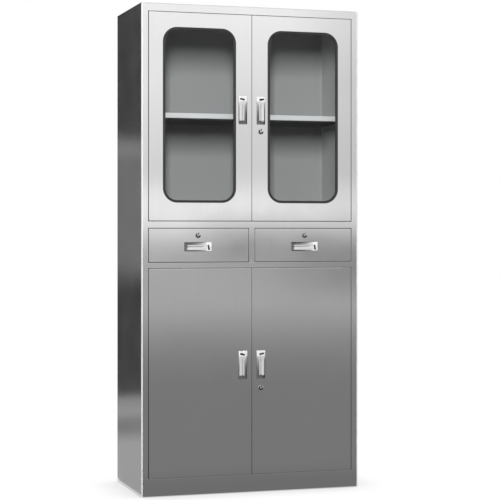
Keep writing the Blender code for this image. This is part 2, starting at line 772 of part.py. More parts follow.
def lower_door(word, side, pull, lock_set, bolt, steel):
    """Plain door with everything that swings with it."""
    name = f"lower_{word}"
    leaf = door_leaf(f"{name}_door_panel", side, LOWER_DOOR_FOOT, LOWER_DOOR_TOP, steel)
    x = side * PULL_INSET
    lock_z = LOWER_PULL_LEVEL - PULL_LENGTH / 2 - LOWER_LOCK_DROP
    cut(leaf, pull_hole(x, LOWER_PULL_LEVEL), *([lock_hole(x, lock_z)] if side > 0 else []))
    middle = (DOOR_OUTER + DOOR_INNER) / 2
    near, far = FRONT + SHEET + FIT + HALF, DOOR_BACK - SHEET - FIT - HALF
    half, web = STIFFENER_WIDTH / 2, STIFFENER_WIDTH / 2 - STIFFENER_FOOT
    path = [(-half, near), (-web, near), (-web, far), (web, far), (web, near), (half, near)]
    outline = folded([(side * middle + x_off, y) for x_off, y in path])
    low, high = LOWER_DOOR_FOOT + STIFFENER_END, LOWER_DOOR_TOP - STIFFENER_END
    pieces = [leaf, solid(f"{name}_door_stiffener", [Prism(outline, "Z", low, high)], steel)]
    pieces.append(on_front(f"{name}_pull", pull, x, LOWER_PULL_LEVEL, flip=side < 0))
    if side > 0:
        pieces.extend(lock(name, lock_set, x, lock_z, 0.0))
    else:
        pieces.append(hung_bolt(name, bolt, LOWER_DOOR_TOP))
    carrier(f"{name}_door_axis", (side * PIVOT_X, PIVOT_Y, LOWER_DOOR_FOOT), *pieces)


def drawer(word, side, pull, lock_set, steel):
    """Drawer front, hanging tray and the two runners that carry it."""
    low, high = side * DOOR_OUTER, side * DRAWER_INNER
    near, far = min(low, high), max(low, high)
    name = f"{word}_drawer"
    front = pan(
        f"{name}_front", (near, FRONT, DRAWER_FOOT), (far, DOOR_BACK, DRAWER_TOP), (0, 1, 0), DOOR_HEM, steel
    )
    x = (near + far) / 2 + side * DRAWER_PULL_SHIFT
    pull_z, lock_z = DRAWER_FOOT + DRAWER_PULL_RISE, DRAWER_TOP - DRAWER_LOCK_DROP
    cut(front, pull_hole(x, pull_z, tall=False), lock_hole(x, lock_z))

    runner_top = DRAWER_TOP - RUNNER_DROP
    runner_foot = runner_top - RUNNER_HEIGHT
    outer, inner = POST_EDGE, DIVIDER_FACE / 2 + FIT
    rear = POST_BACK + FIT + RUNNER_LENGTH
    runners = (("outer", outer, -1), ("inner", inner, 1))
    for end, wall, inward in runners:
        web, mouth = wall + inward * HALF, wall + inward * RUNNER_WIDTH
        path = [(mouth, runner_foot + HALF), (web, runner_foot + HALF)]
        path += [(web, runner_top - HALF), (mouth, runner_top - HALF)]
        runner = Prism(mirrored(folded(path), side), "Y", POST_BACK + FIT, rear)
        piece = solid(f"{name}_{end}_runner", [runner], steel)
        if end == "outer":
            for y in (POST_BACK + RUNNER_TAB, rear - RUNNER_TAB):
                reach = sorted((side * (wall - HALF), side * PANEL_SIDE))
                tab_low = (reach[0], y, runner_foot + 0.001)
                join(piece, block(tab_low, (reach[1], y + SHEET, runner_top - 0.001)))

    hang = runner_top - SHEET - RUN - HALF
    toe = runner_foot + SHEET + RUN
    floor = DRAWER_FOOT + TRAY_FLOOR + HALF
    hook_out, hook_in = outer - SHEET - 2 * RUN - HALF, inner + SHEET + 2 * RUN + HALF
    wall_out, wall_in = outer - RUNNER_WIDTH - RUN - HALF, inner + RUNNER_WIDTH + RUN + HALF
    path = [(hook_out, toe), (hook_out, hang), (wall_out, hang), (wall_out, floor)]
    path += [(wall_in, floor), (wall_in, hang), (hook_in, hang), (hook_in, toe)]
    start, end = DOOR_BACK + FIT, DOOR_BACK + FIT + TRAY_LENGTH
    tray = solid(f"{name}_tray", [Prism(mirrored(folded(path), side), "Y", start, end)], steel)
    walls = sorted((side * wall_out, side * wall_in))
    for y in (start + SHEET, end - 2 * SHEET):
        join(tray, block((walls[0], y, floor), (walls[1], y + SHEET, hang - BEND)))

    handle = on_front(f"{name}_pull", pull, x, pull_z, turn=-math.pi / 2)
    case_and_axis = lock(name, lock_set, x, lock_z, -math.pi / 2)
    carrier(f"{name}_slide", (x, FRONT, pull_z), front, tray, handle, *case_and_axis)


def main():
    """Build the whole cabinet."""
    for piece in list(bpy.data.objects):
        bpy.data.objects.remove(piece)
    steel = surface("stainless_steel", (0.62, 0.63, 0.64), 1.0, 0.30)
    chrome = surface("chrome", (0.80, 0.80, 0.80), 1.0, 0.12)
    rubber = surface("black_rubber", (0.02, 0.02, 0.02), 0.0, 0.55)
    clear = surface("window_glass", (0.90, 0.95, 0.93), 0.0, 0.02, 0.95)

    carcass(steel)
    shelf("upper", UPPER_SHELF_TOP, steel)
    shelf("lower", LOWER_SHELF_TOP, steel)
    pivot_pins("upper", UPPER_DOOR_FOOT, UPPER_DOOR_TOP, steel)
    pivot_pins("lower", LOWER_DOOR_FOOT, LOWER_DOOR_TOP, steel)

    pull = pull_mesh(chrome)
    lock_set = lock_meshes(chrome, steel)
    bolt = bolt_mesh(steel)
    for word, side in SIDES.items():
        upper_door(word, side, pull, lock_set, bolt, steel, rubber, clear)
        lower_door(word, side, pull, lock_set, bolt, steel)
        drawer(word, side, pull, lock_set, steel)


main()
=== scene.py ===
"""Looks of a glass-door steel cabinet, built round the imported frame.

Satin folded steel, glazed doors in black seals, recessed pulls and cam locks, in a white studio.
Metres, +Z up, the front faces -Y. Small sizes are written in millimetres times MM.
"""

from __future__ import annotations

import logging
import math
from collections.abc import Iterable, Mapping, Sequence
from dataclasses import dataclass, field
from enum import Enum

import bmesh
import bpy
import numpy as np
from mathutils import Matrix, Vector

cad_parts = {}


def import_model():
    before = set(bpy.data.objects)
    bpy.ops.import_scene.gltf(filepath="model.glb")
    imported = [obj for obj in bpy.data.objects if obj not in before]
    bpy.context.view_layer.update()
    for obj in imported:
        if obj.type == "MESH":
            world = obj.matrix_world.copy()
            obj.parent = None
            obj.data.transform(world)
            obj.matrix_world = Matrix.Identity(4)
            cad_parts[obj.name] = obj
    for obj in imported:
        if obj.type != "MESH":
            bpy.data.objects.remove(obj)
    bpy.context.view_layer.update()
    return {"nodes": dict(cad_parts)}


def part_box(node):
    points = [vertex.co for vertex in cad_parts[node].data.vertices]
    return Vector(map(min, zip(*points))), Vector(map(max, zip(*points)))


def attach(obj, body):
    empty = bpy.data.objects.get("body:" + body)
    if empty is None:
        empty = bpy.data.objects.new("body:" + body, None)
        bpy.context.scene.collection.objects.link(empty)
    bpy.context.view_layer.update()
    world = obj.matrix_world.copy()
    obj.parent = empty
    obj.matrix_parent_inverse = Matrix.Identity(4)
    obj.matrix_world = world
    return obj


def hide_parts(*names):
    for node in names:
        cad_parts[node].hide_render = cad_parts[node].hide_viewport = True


MM = 0.001
SHARP = math.radians(30)  # angle between two faces past which their edge is sharp
LEAST_RADIUS = 0.25 * MM  # of a round corner that is drawn in
CUT_REACH = 4 * MM  # of a cutter past the sheet, to either side
NOISE_RANGE = {"From Min": 0.3, "From Max": 0.7}  # where most of a noise pattern lies
WHITE = "#FFFFFF"
LOG = logging.getLogger("cabinet")


class Hand(Enum):
    """Side of the cabinet, with the sign of its x."""

    LEFT = -1
    RIGHT = 1

    @property
    def word(self) -> str:
        """Name of the side as the nodes spell it."""
        return self.name.lower()


class Level(Enum):
    """Upper or lower pair of doors."""

    UPPER = "upper"
    LOWER = "lower"


class Set(Enum):
    """How a fitting is set in the front: upright on a door, lying on a drawer."""

    UPRIGHT = "upright"
    LYING = "lying"


@dataclass(frozen=True)
class Extent:
    """Lowest and highest corner of a CAD node."""

    low: np.ndarray
    high: np.ndarray

    @classmethod
    def of(cls, node: str) -> Extent:
        """Extent of a node of the frame."""
        low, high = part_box(node)
        return cls(np.array(low), np.array(high))

    @property
    def middle(self) -> np.ndarray:
        """Middle of the box."""
        return (self.low + self.high) / 2

    @property
    def half(self) -> np.ndarray:
        """Half of the box's size."""
        return (self.high - self.low) / 2


@dataclass
class Shell:
    """Points and groups of equal-sided faces of one surface."""

    points: np.ndarray
    faces: list[np.ndarray] = field(default_factory=list)


def linear(code: str) -> tuple[float, float, float, float]:
    """Turn an sRGB hex colour to linear.

    Args:
        code: Colour such as "#C8C9CA".

    Returns:
        Linear red, green and blue, with full alpha.
    """
    share = np.array([int(code[i : i + 2], 16) / 255 for i in (1, 3, 5)])
    curve = np.where(share <= 0.04045, share / 12.92, ((share + 0.055) / 1.055) ** 2.4)
    return (*map(float, curve), 1.0)


def add_node(
    tree: bpy.types.NodeTree, kind: str, inputs: Mapping[str | int, object] | None = None, **settings: object
) -> bpy.types.Node:
    """Add a node, set its options, and fill or link its inputs.

    Args:
        tree: Node tree that gets the node.
        kind: Type name of the node.
        inputs: Value, or output socket to link, for each input by name or number.
        **settings: Options of the node.

    Returns:
        The new node.
    """
    node = tree.nodes.new(kind)
    for option, value in settings.items():
        setattr(node, option, value)
    for key, value in (inputs or {}).items():
        if isinstance(value, bpy.types.NodeSocket):
            tree.links.new(value, node.inputs[key])
        else:
            node.inputs[key].default_value = value
    return node


def bare_material(name: str) -> tuple[bpy.types.Material, bpy.types.NodeTree, bpy.types.Node]:
    """Make a material with nothing but its output.

    Args:
        name: Name of the material.

    Returns:
        The material, its tree and its output node.
    """
    material = bpy.data.materials.new(name)
    material.use_nodes = True
    material.node_tree.nodes.clear()
    return material, material.node_tree, add_node(material.node_tree, "ShaderNodeOutputMaterial")


@dataclass(frozen=True)
class Sheet:
    """Steel sheet, cold rolled, ground with a belt or blasted.

    To the eye: a soft grey mirror that smears what it shows, with hair-fine upright grinding lines,
    cloudy patches of gloss, and a faint wave where the sheet isn't quite flat. Blasted, it scatters light
    as paint does, so less of it counts as metal.
    """

    name: str
    colour: str
    roughness: float
    metallic: float = 1.0
    gloss: float = 0.5  # specular level of what isn't metal
    cloud: float = 0.03  # change of roughness over a patch
    contrast: float = 0.045  # share by which a grinding line is lighter or darker
    line_width: float = 1.2 * MM  # grinding lines, drawn coarser than the real 0.1 mm so that they show
    line_length: float = 160 * MM
    line_depth: float = 0.004 * MM
    patch: float = 130 * MM
    wave: float = 420 * MM
    wave_depth: float = 0.25 * MM

    def build(self) -> bpy.types.Material:
        """Material with upright lines, cloudy gloss and a shallow wave, all on Object coordinates."""
        material, tree, output = bare_material(self.name)
        place = add_node(tree, "ShaderNodeTexCoord").outputs["Object"]
        across, along = 1 / self.line_width, 1 / self.line_length
        strokes = add_node(tree, "ShaderNodeMapping", {"Vector": place, "Scale": (across, across, along)})
        lines = add_node(
            tree,
            "ShaderNodeTexNoise",
            {"Vector": strokes.outputs[0], "Scale": 1.0, "Detail": 3.0, "Roughness": 0.6},
        )
        clouds = add_node(
            tree, "ShaderNodeTexNoise", {"Vector": place, "Scale": 1 / self.patch, "Detail": 4.0}
        )
        waves = add_node(tree, "ShaderNodeTexNoise", {"Vector": place, "Scale": 1 / self.wave, "Detail": 1.0})
        gloss = add_node(
            tree,
            "ShaderNodeMapRange",
            {
                "Value": clouds.outputs["Fac"],
                **NOISE_RANGE,
                "To Min": self.roughness - self.cloud / 2,
                "To Max": self.roughness + self.cloud / 2,
            },
        )
        dark, light = (
            (*(min(1.0, (1 + change) * part) for part in linear(self.colour)[:3]), 1.0)
            for change in (-self.contrast, self.contrast)
        )
        tone = add_node(
            tree,
            "ShaderNodeMix",
            {"Factor": lines.outputs["Fac"], "A": dark, "B": light},
            data_type="RGBA",
        )
        swell = add_node(
            tree,
            "ShaderNodeBump",
            {"Height": waves.outputs["Fac"], "Distance": self.wave_depth, "Strength": 1.0},
        )
        grind = add_node(
            tree,
            "ShaderNodeBump",
            {
                "Height": lines.outputs["Fac"],
                "Distance": self.line_depth,
                "Strength": 1.0,
                "Normal": swell.outputs["Normal"],
            },
        )
        shader = add_node(
            tree,
            "ShaderNodeBsdfPrincipled",
            {
                "Base Color": tone.outputs["Result"],
                "Metallic": self.metallic,
                "Roughness": gloss.outputs["Result"],
                "Specular IOR Level": self.gloss,
                "Normal": grind.outputs["Normal"],
            },
        )
        tree.links.new(shader.outputs["BSDF"], output.inputs["Surface"])
        return material


@dataclass(frozen=True)
class Plating:
    """Plated die-cast zinc or turned brass, polished or satin.

    To the eye: brighter and cleaner than the sheet, with a slight unevenness of gloss from handling. Where a
    hollow colour is given, the colour darkens with the depth behind the front plane: painted shade.
    """

    name: str
    colour: str
    metallic: float
    roughness: float
    hollow: str | None = None  # colour of the painted shade at the bottom of a hollow
    plane: float = 0.0  # y of the front plane
    shallow: float = 0.0  # depth behind the plane where the painted shade starts
    deep: float = 12.0 * MM  # and where the painted shade is full, in the colour of the hollow
    spread: tuple[float, float] = (0.85, 1.2)  # least and most roughness over a smudge, as shares
    smudge: float = 14 * MM
    pit: float = 0.8 * MM
    pit_depth: float = 0.006 * MM

    def build(self) -> bpy.types.Material:
        """Material whose gloss changes in finger-wide smudges over a fine cast texture."""
        material, tree, output = bare_material(self.name)
        place = add_node(tree, "ShaderNodeTexCoord").outputs["Object"]
        smudges = add_node(
            tree, "ShaderNodeTexNoise", {"Vector": place, "Scale": 1 / self.smudge, "Detail": 3.0}
        )
        pits = add_node(tree, "ShaderNodeTexNoise", {"Vector": place, "Scale": 1 / self.pit, "Detail": 2.0})
        least, most = self.spread
        gloss = add_node(
            tree,
            "ShaderNodeMapRange",
            {
                "Value": smudges.outputs["Fac"],
                **NOISE_RANGE,
                "To Min": least * self.roughness,
                "To Max": most * self.roughness,
            },
        )
        cast = add_node(
            tree,
            "ShaderNodeBump",
            {"Height": pits.outputs["Fac"], "Distance": self.pit_depth, "Strength": 1.0},
        )
        colour: tuple[float, ...] | bpy.types.NodeSocket = linear(self.colour)
        # Painted shade: the colour darkens from its own to the hollow colour with the depth behind the front
        # plane.
        if self.hollow:
            spot = add_node(tree, "ShaderNodeSeparateXYZ", {"Vector": place})
            depth = add_node(
                tree,
                "ShaderNodeMapRange",
                {
                    "Value": spot.outputs["Y"],
                    "From Min": self.plane + self.shallow,
                    "From Max": self.plane + self.deep,
                },
            )
            colour = add_node(
                tree,
                "ShaderNodeMix",
                {"Factor": depth.outputs["Result"], "A": colour, "B": linear(self.hollow)},
                data_type="RGBA",
            ).outputs["Result"]
        shader = add_node(
            tree,
            "ShaderNodeBsdfPrincipled",
            {
                "Base Color": colour,
                "Metallic": self.metallic,
                "Roughness": gloss.outputs["Result"],
                "Normal": cast.outputs["Normal"],
            },
        )
        tree.links.new(shader.outputs["BSDF"], output.inputs["Surface"])
        return material


@dataclass(frozen=True)
class Moulding:
    """Black moulded rubber or plastic.

    To the eye: near black with a soft sheen, and a dusty mottle that lifts it a little in places.
    """

    name: str
    colour: str
    dust: str
    roughness: float
    ior: float = 1.5
    mottle: float = 22 * MM
    grain: float = 0.9 * MM  # skin of the moulding, drawn coarser than it is
    grain_depth: float = 0.02 * MM

    def build(self) -> bpy.types.Material:
        """Material that mixes dust into the black by a soft mottle, over a grained skin."""
        material, tree, output = bare_material(self.name)
        place = add_node(tree, "ShaderNodeTexCoord").outputs["Object"]
        mottles = add_node(
            tree, "ShaderNodeTexNoise", {"Vector": place, "Scale": 1 / self.mottle, "Detail": 4.0}
        )
        grains = add_node(
            tree, "ShaderNodeTexNoise", {"Vector": place, "Scale": 1 / self.grain, "Detail": 1.0}
        )
        tone = add_node(
            tree,
            "ShaderNodeMix",
            {"Factor": mottles.outputs["Fac"], "A": linear(self.colour), "B": linear(self.dust)},
            data_type="RGBA",
        )
        grained = add_node(
            tree,
            "ShaderNodeBump",
            {"Height": grains.outputs["Fac"], "Distance": self.grain_depth, "Strength": 1.0},
        )
        shader = add_node(
            tree,
            "ShaderNodeBsdfPrincipled",
            {
                "Base Color": tone.outputs["Result"],
                "Roughness": self.roughness,
                "IOR": self.ior,
                "Normal": grained.outputs["Normal"],
            },
        )
        tree.links.new(shader.outputs["BSDF"], output.inputs["Surface"])
        return material


@dataclass(frozen=True)
class FloatGlass:
    """Clear soda-lime float glass.

    To the eye: a faint veil and a sharp weak mirror. The pane is thin, so it passes every ray straight on,
    and light for the inside of the cabinet comes through it.
    """

    name: str
    tint: str
    ior: float = 1.25  # from the usual 1.52, down to the weak mirror of these panes

    def build(self) -> bpy.types.Material:
        """Material that is see-through, with the Fresnel share of a mirror on the faces turned to the eye."""
        material, tree, output = bare_material(self.name)
        fresnel = add_node(tree, "ShaderNodeFresnel", {"IOR": self.ior})
        turned = add_node(tree, "ShaderNodeNewGeometry").outputs["Backfacing"]
        facing = add_node(tree, "ShaderNodeMath", {0: 1.0, 1: turned}, operation="SUBTRACT")
        share = add_node(
            tree, "ShaderNodeMath", {0: fresnel.outputs[0], 1: facing.outputs[0]}, operation="MULTIPLY"
        )
        veil = add_node(tree, "ShaderNodeBsdfTransparent", {"Color": linear(self.tint)})
        mirror = add_node(
            tree,
            "ShaderNodeBsdfPrincipled",
            {"Base Color": linear(WHITE), "Metallic": 1.0, "Roughness": 0.0},
        )
        mixed = add_node(
            tree,
            "ShaderNodeMixShader",
            {0: share.outputs[0], 1: veil.outputs["BSDF"], 2: mirror.outputs["BSDF"]},
        )
        tree.links.new(mixed.outputs["Shader"], output.inputs["Surface"])
        return material


@dataclass(frozen=True)
class Finishes:
    """The built materials of the cabinet."""

    panel: bpy.types.Material
    lining: bpy.types.Material
    wall: bpy.types.Material
    mill: bpy.types.Material
    under: bpy.types.Material
    side: bpy.types.Material
    roof: bpy.types.Material
    edge: bpy.types.Material
    shelf: bpy.types.Material
    zinc: bpy.types.Material
    bar: bpy.types.Material
    head: bpy.types.Material
    hollow: bpy.types.Material
    chrome: bpy.types.Material
    rubber: bpy.types.Material
    plastic: bpy.types.Material
    glass: bpy.types.Material

    @classmethod
    def build(cls, plane: float) -> Finishes:
        """Build every material once, for a cabinet with the given front plane."""
        # satin is the plating's own colour; the next three are painted: shade in the bar's flute, a highlight
        # on the head and shade in the cup
        satin, worn, bright, dull = "#D8D8D8", "#B6B6B7", "#F2F2F2", "#606061"
        matt = {"metallic": 0.0, "gloss": 0.15, "cloud": 0.05}
        return cls(
            panel=Sheet("satin_stainless_steel", "#CECECE", 0.08).build(),
            lining=Sheet("blasted_stainless_steel", "#9B9B9B", 0.6, **matt).build(),
            wall=Sheet("bead_blasted_stainless_steel", "#BCBCBC", 0.6, **matt).build(),
            # Dark grey for the post's walls in the gap beside the doors and for the pulls' cup walls: painted
            # shade.
            mill=Sheet("mill_stainless_steel", "#565656", 0.6, **matt).build(),
            # Darker grey on all of a shelf but its top and front lip, a shaded copy of the shelf's finish:
            # painted shade.
            under=Sheet("pickled_stainless_steel", "#868686", 0.7, metallic=0.0, gloss=0.0).build(),
            side=Sheet("hairline_stainless_steel", "#CECECE", 0.14).build(),
            roof=Sheet("brushed_stainless_steel", "#CECECE", 0.4, cloud=0.06).build(),
            # Near-white, less metallic steel on the front corner's bend: painted highlight.
            edge=Sheet("dressed_stainless_steel", "#FAFAFA", 0.3, metallic=0.25, wave_depth=0.0).build(),
            shelf=Sheet("matt_stainless_steel", "#DFDFDF", 0.42, metallic=0.2, cloud=0.06).build(),
            zinc=Sheet(
                "zinc_plated_steel", "#B4B7BB", 0.36, cloud=0.12, patch=25 * MM, wave_depth=0.0
            ).build(),
            # Painted shade: the bar darkens with depth, from near its top down into its flute and along its
            # sides.
            bar=Plating(
                "satin_nickel_die_cast_zinc",
                satin,
                0.2,
                0.34,
                hollow=worn,
                plane=plane,
                shallow=-1.8 * MM,
                deep=1.2 * MM,
            ).build(),
            # The head, parted from the bar at the neck, has a lighter, less metallic plating than the bar:
            # painted highlight.
            head=Plating("pearl_nickel_die_cast_zinc", bright, 0.1, 0.26).build(),
            # Painted shade: the cup floor darkens with its depth behind the front plane, to a dark grey at
            # the bottom.
            hollow=Plating("dull_nickel_die_cast_zinc", satin, 0.2, 0.4, hollow=dull, plane=plane).build(),
            chrome=Plating("chrome_plated_brass", "#D8D9DA", 1.0, 0.16).build(),
            rubber=Moulding("black_epdm_rubber", "#252526", "#363637", 0.36).build(),
            plastic=Moulding("black_abs", "#222223", "#2C2C2D", 0.38).build(),
            glass=FloatGlass("clear_float_glass", "#FAFBFB").build(),
        )


def arc(middle: tuple[float, float], radius: float, start: float, end: float, steps: int) -> np.ndarray:
    """Points of a round stretch: the middle plus radius times (cos, sin) of evenly spaced angles.

    Args:
        middle: Centre of the arc in its plane.
        radius: Radius of the arc.
        start: First angle in degrees.
        end: Last angle in degrees.
        steps: Number of stretches.

    Returns:
        Points, one row each.
    """
    angle = np.radians(np.linspace(start, end, steps + 1))
    return np.array(middle) + radius * np.stack([np.cos(angle), np.sin(angle)], axis=-1)


def rounded_loops(half: np.ndarray, radius: np.ndarray, steps: int) -> np.ndarray:
    """Rings round rectangles with round corners, anticlockwise from the right side.

    The arc of corner k has its middle at half less radius, with the signs of quadrant k, and adds
    radius times (cos, sin) of an angle that runs over that quadrant.

    Args:
        half: Half width and half height of each ring.
        radius: Corner radius of each ring.
        steps: Stretches of each corner.

    Returns:
        Points of every ring: ring, point, axis.
    """
    angle = (np.arange(4)[:, None] + np.linspace(0.0, 1.0, steps + 1)) * math.pi / 2
    signs = np.array([[1, 1], [-1, 1], [-1, -1], [1, -1]])
    middle = signs[None] * (half - radius[:, None])[:, None, :]
    spoke = np.stack([np.cos(angle), np.sin(angle)], axis=-1)
    points = middle[:, :, None, :] + radius[:, None, None, None] * spoke[None]
    return points.reshape(len(half), -1, 2)


def inset_rings(half: np.ndarray, corner: float, profile: np.ndarray, steps: int) -> np.ndarray:
    """A profile of inset and height carried round a rectangle with round corners.

    Each point of the profile gives one ring: the rectangle drawn in by the inset, its corners drawn
    in with it down to a least radius, at the point's height.

    Args:
        half: Half width and half height of the rectangle.
        corner: Corner radius at no inset.
        profile: Rows of inset and height.
        steps: Stretches of each corner.

    Returns:
        Rings of width, height over the plane and length: ring, point, axis.
    """
    inset, height = profile[:, 0], profile[:, 1]
    radius = np.maximum(corner - inset, LEAST_RADIUS)
    flat = rounded_loops(half[None] - inset[:, None], radius, steps)
    level = np.broadcast_to(height[:, None], flat.shape[:2])
    return np.stack([flat[..., 0], level, flat[..., 1]], axis=-1)


def folded_outline(path: np.ndarray, radii: Sequence[float], sheet: float, steps: int) -> np.ndarray:
    """Outline of a sheet folded along its middle line.

    Every bend is an arc tangent to the two runs it joins, with a close point on either run that
    keeps the shading of the run flat. The outline is the middle line moved half a sheet to either side.

    Args:
        path: Corner points of the middle line.
        radii: Radius of each bend at the middle of the sheet.
        sheet: Thickness.
        steps: Stretches of each bend.

    Returns:
        Closed outline, one row for each point.
    """
    runs = np.diff(path, axis=0)
    runs /= np.linalg.norm(runs, axis=1)[:, None]
    before, after = runs[:-1], runs[1:]
    normals = np.stack([-runs[:, 1], runs[:, 0]], axis=-1)
    cross = before[:, 0] * after[:, 1] - before[:, 1] * after[:, 0]
    turn = np.arctan2(cross, np.sum(before * after, axis=1))
    radius = np.array(radii)
    back = radius * np.tan(np.abs(turn) / 2)
    middle = path[1:-1] - before * back[:, None] + normals[:-1] * (radius * np.sign(turn))[:, None]
    angle = turn[:, None] * np.linspace(0.0, 1.0, steps + 1)
    cosine, sine = np.cos(angle), np.sin(angle)
    first = normals[:-1]
    lean = np.stack(
        [
            cosine * first[:, None, 0] - sine * first[:, None, 1],
            sine * first[:, None, 0] + cosine * first[:, None, 1],
        ],
        axis=-1,
    )
    bend = middle[:, None] - lean * (radius * np.sign(turn))[:, None, None]
    hold = 0.6 * MM
    start, end = bend[:, :1] - hold * before[:, None], bend[:, -1:] + hold * after[:, None]
    bend = np.concatenate([start, bend, end], axis=1)
    lean = np.concatenate([lean[:, :1], lean, lean[:, -1:]], axis=1)
    line = np.concatenate([path[:1], bend.reshape(-1, 2), path[-1:]])
    out = np.concatenate([normals[:1], lean.reshape(-1, 2), normals[-1:]])
    return np.concatenate([line + out * sheet / 2, (line - out * sheet / 2)[::-1]])


def skin(grid: np.ndarray, close: bool = False, caps: bool = False) -> Shell:
    """Quads over a grid whose columns run round a closed ring.

    Face (row, column) joins the points of two rows and two columns; the last column meets the first.

    Args:
        grid: Points: row, column, axis.
        close: Whether the last row meets the first.
        caps: Whether the first and the last row are filled.

    Returns:
        The surface.
    """
    rows, columns = grid.shape[:2]
    index = np.arange(rows * columns).reshape(rows, columns)
    low = index if close else index[:-1]
    high = np.roll(index, -1, axis=0) if close else index[1:]
    faces = [np.stack([low, np.roll(low, -1, 1), np.roll(high, -1, 1), high], axis=-1).reshape(-1, 4)]
    if caps:
        faces.append(np.stack([index[0][::-1], index[-1]]))
    return Shell(grid.reshape(-1, 3), faces)


def swept(outline: np.ndarray, low: float, high: float) -> np.ndarray:
    """Grid of an outline in plan carried straight up from one level to another."""
    level = np.broadcast_to(np.array([low, high])[:, None, None], (2, len(outline), 1))
    plan = np.broadcast_to(outline[None], (2, *outline.shape))
    return np.concatenate([plan, level], axis=-1)


def spun(profile: np.ndarray, steps: int) -> np.ndarray:
    """Grid of a profile of radius and height turned round: radius times (cos, sin) of even angles."""
    angle = 2 * math.pi * np.arange(steps) / steps
    wide = profile[:, :1] * np.cos(angle)
    tall = profile[:, :1] * np.sin(angle)
    return np.stack([wide, np.broadcast_to(profile[:, 1:], wide.shape), tall], axis=-1)


def make_piece(name: str, shells: Iterable[Shell], finish: bpy.types.Material | None) -> bpy.types.Object:
    """Make one object of closed shells, with its faces outwards and its sharp edges marked.

    Args:
        name: Name of the object.
        shells: Surfaces in world places.
        finish: Material, or None for a cutter.

    Returns:
        The object, at the origin.
    """
    points: list[np.ndarray] = []
    corners: list[np.ndarray] = []
    sizes: list[np.ndarray] = []
    count = 0
    for shell in shells:
        points.append(shell.points)
        corners.extend((group + count).ravel() for group in shell.faces)
        sizes.extend(np.full(len(group), group.shape[1]) for group in shell.faces)
        count += len(shell.points)
    mesh = bpy.data.meshes.new(name)
    size = np.concatenate(sizes)
    mesh.vertices.add(count)
    mesh.vertices.foreach_set("co", np.concatenate(points).astype(np.float32).ravel())
    mesh.loops.add(int(size.sum()))
    mesh.loops.foreach_set("vertex_index", np.concatenate(corners).astype(np.int32))
    mesh.polygons.add(len(size))
    mesh.polygons.foreach_set("loop_start", (np.cumsum(size) - size).astype(np.int32))
    mesh.update(calc_edges=True)
    mesh.validate()
    piece = bpy.data.objects.new(name, mesh)
    bpy.context.scene.collection.objects.link(piece)
    face_outwards(mesh)
    if finish:
        mesh.materials.append(finish)
    LOG.info("%s: %d faces", name, len(mesh.polygons))
    return piece


def face_outwards(mesh: bpy.types.Mesh) -> None:
    """Turn the faces of closed shells outwards and shade them smooth between sharp edges."""
    work = bmesh.new()
    work.from_mesh(mesh)
    bmesh.ops.recalc_face_normals(work, faces=work.faces)
    work.to_mesh(mesh)
    work.free()
    mesh.shade_smooth()
    mesh.set_sharp_from_angle(angle=SHARP)


def face_turns(mesh: bpy.types.Mesh) -> tuple[np.ndarray, np.ndarray]:
    """Middle and normal of every face, one row each."""
    middle = np.empty(3 * len(mesh.polygons), np.float32)
    turned = np.empty(3 * len(mesh.polygons), np.float32)
    mesh.polygons.foreach_get("center", middle)
    mesh.polygons.foreach_get("normal", turned)
    return middle.reshape(-1, 3), turned.reshape(-1, 3)


def bore(piece: bpy.types.Object, cutters: Sequence[bpy.types.Object]) -> bpy.types.Object:
    """Cut closed cutters out of a piece and take the cutters away.

    Args:
        piece: Piece to cut.
        cutters: Objects that are used up.

    Returns:
        The piece, with its final mesh.
    """
    for cutter in cutters:
        step = piece.modifiers.new(cutter.name, "BOOLEAN")
        step.operation = "DIFFERENCE"
        step.solver = "EXACT"
        step.object = cutter
    graph = bpy.context.evaluated_depsgraph_get()
    whole, rough = piece.data, bpy.data.meshes.new_from_object(piece.evaluated_get(graph))
    piece.modifiers.clear()
    piece.data = rough
    rough.name = whole.name
    bpy.data.meshes.remove(whole)
    for cutter in cutters:
        spare = cutter.data
        bpy.data.objects.remove(cutter)
        bpy.data.meshes.remove(spare)
    face_outwards(rough)
    return piece


def dress(piece: bpy.types.Object, body: str, nodes: Sequence[str] = ()) -> bpy.types.Object:
    """Let a piece ride on a body and stand for CAD nodes."""
    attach(piece, body)
    if nodes:
        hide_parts(*nodes)
    return piece


@dataclass(frozen=True)
class Place:
    """Where a fitting is set in the front: its centre, the front plane, its hand and its lie."""

    x: float
    z: float
    plane: float
    hand: Hand = Hand.RIGHT
    lie: Set = Set.UPRIGHT

    def world(self, grid: np.ndarray) -> np.ndarray:
        """World points of a fitting drawn for the right door.

        Across and along lie in the front plane and the height stands out of it. A left one has across
        turned over, and a lying one is turned a quarter clockwise.

        Args:
            grid: Points of across, height and along.

        Returns:
            World points of the same shape.
        """
        across, height, along = grid[..., 0], grid[..., 1], grid[..., 2]
        if self.lie is Set.LYING:
            across, along = along, -across
        else:
            across = across * self.hand.value
        return np.stack([self.x + across, self.plane - height, self.z + along], axis=-1)


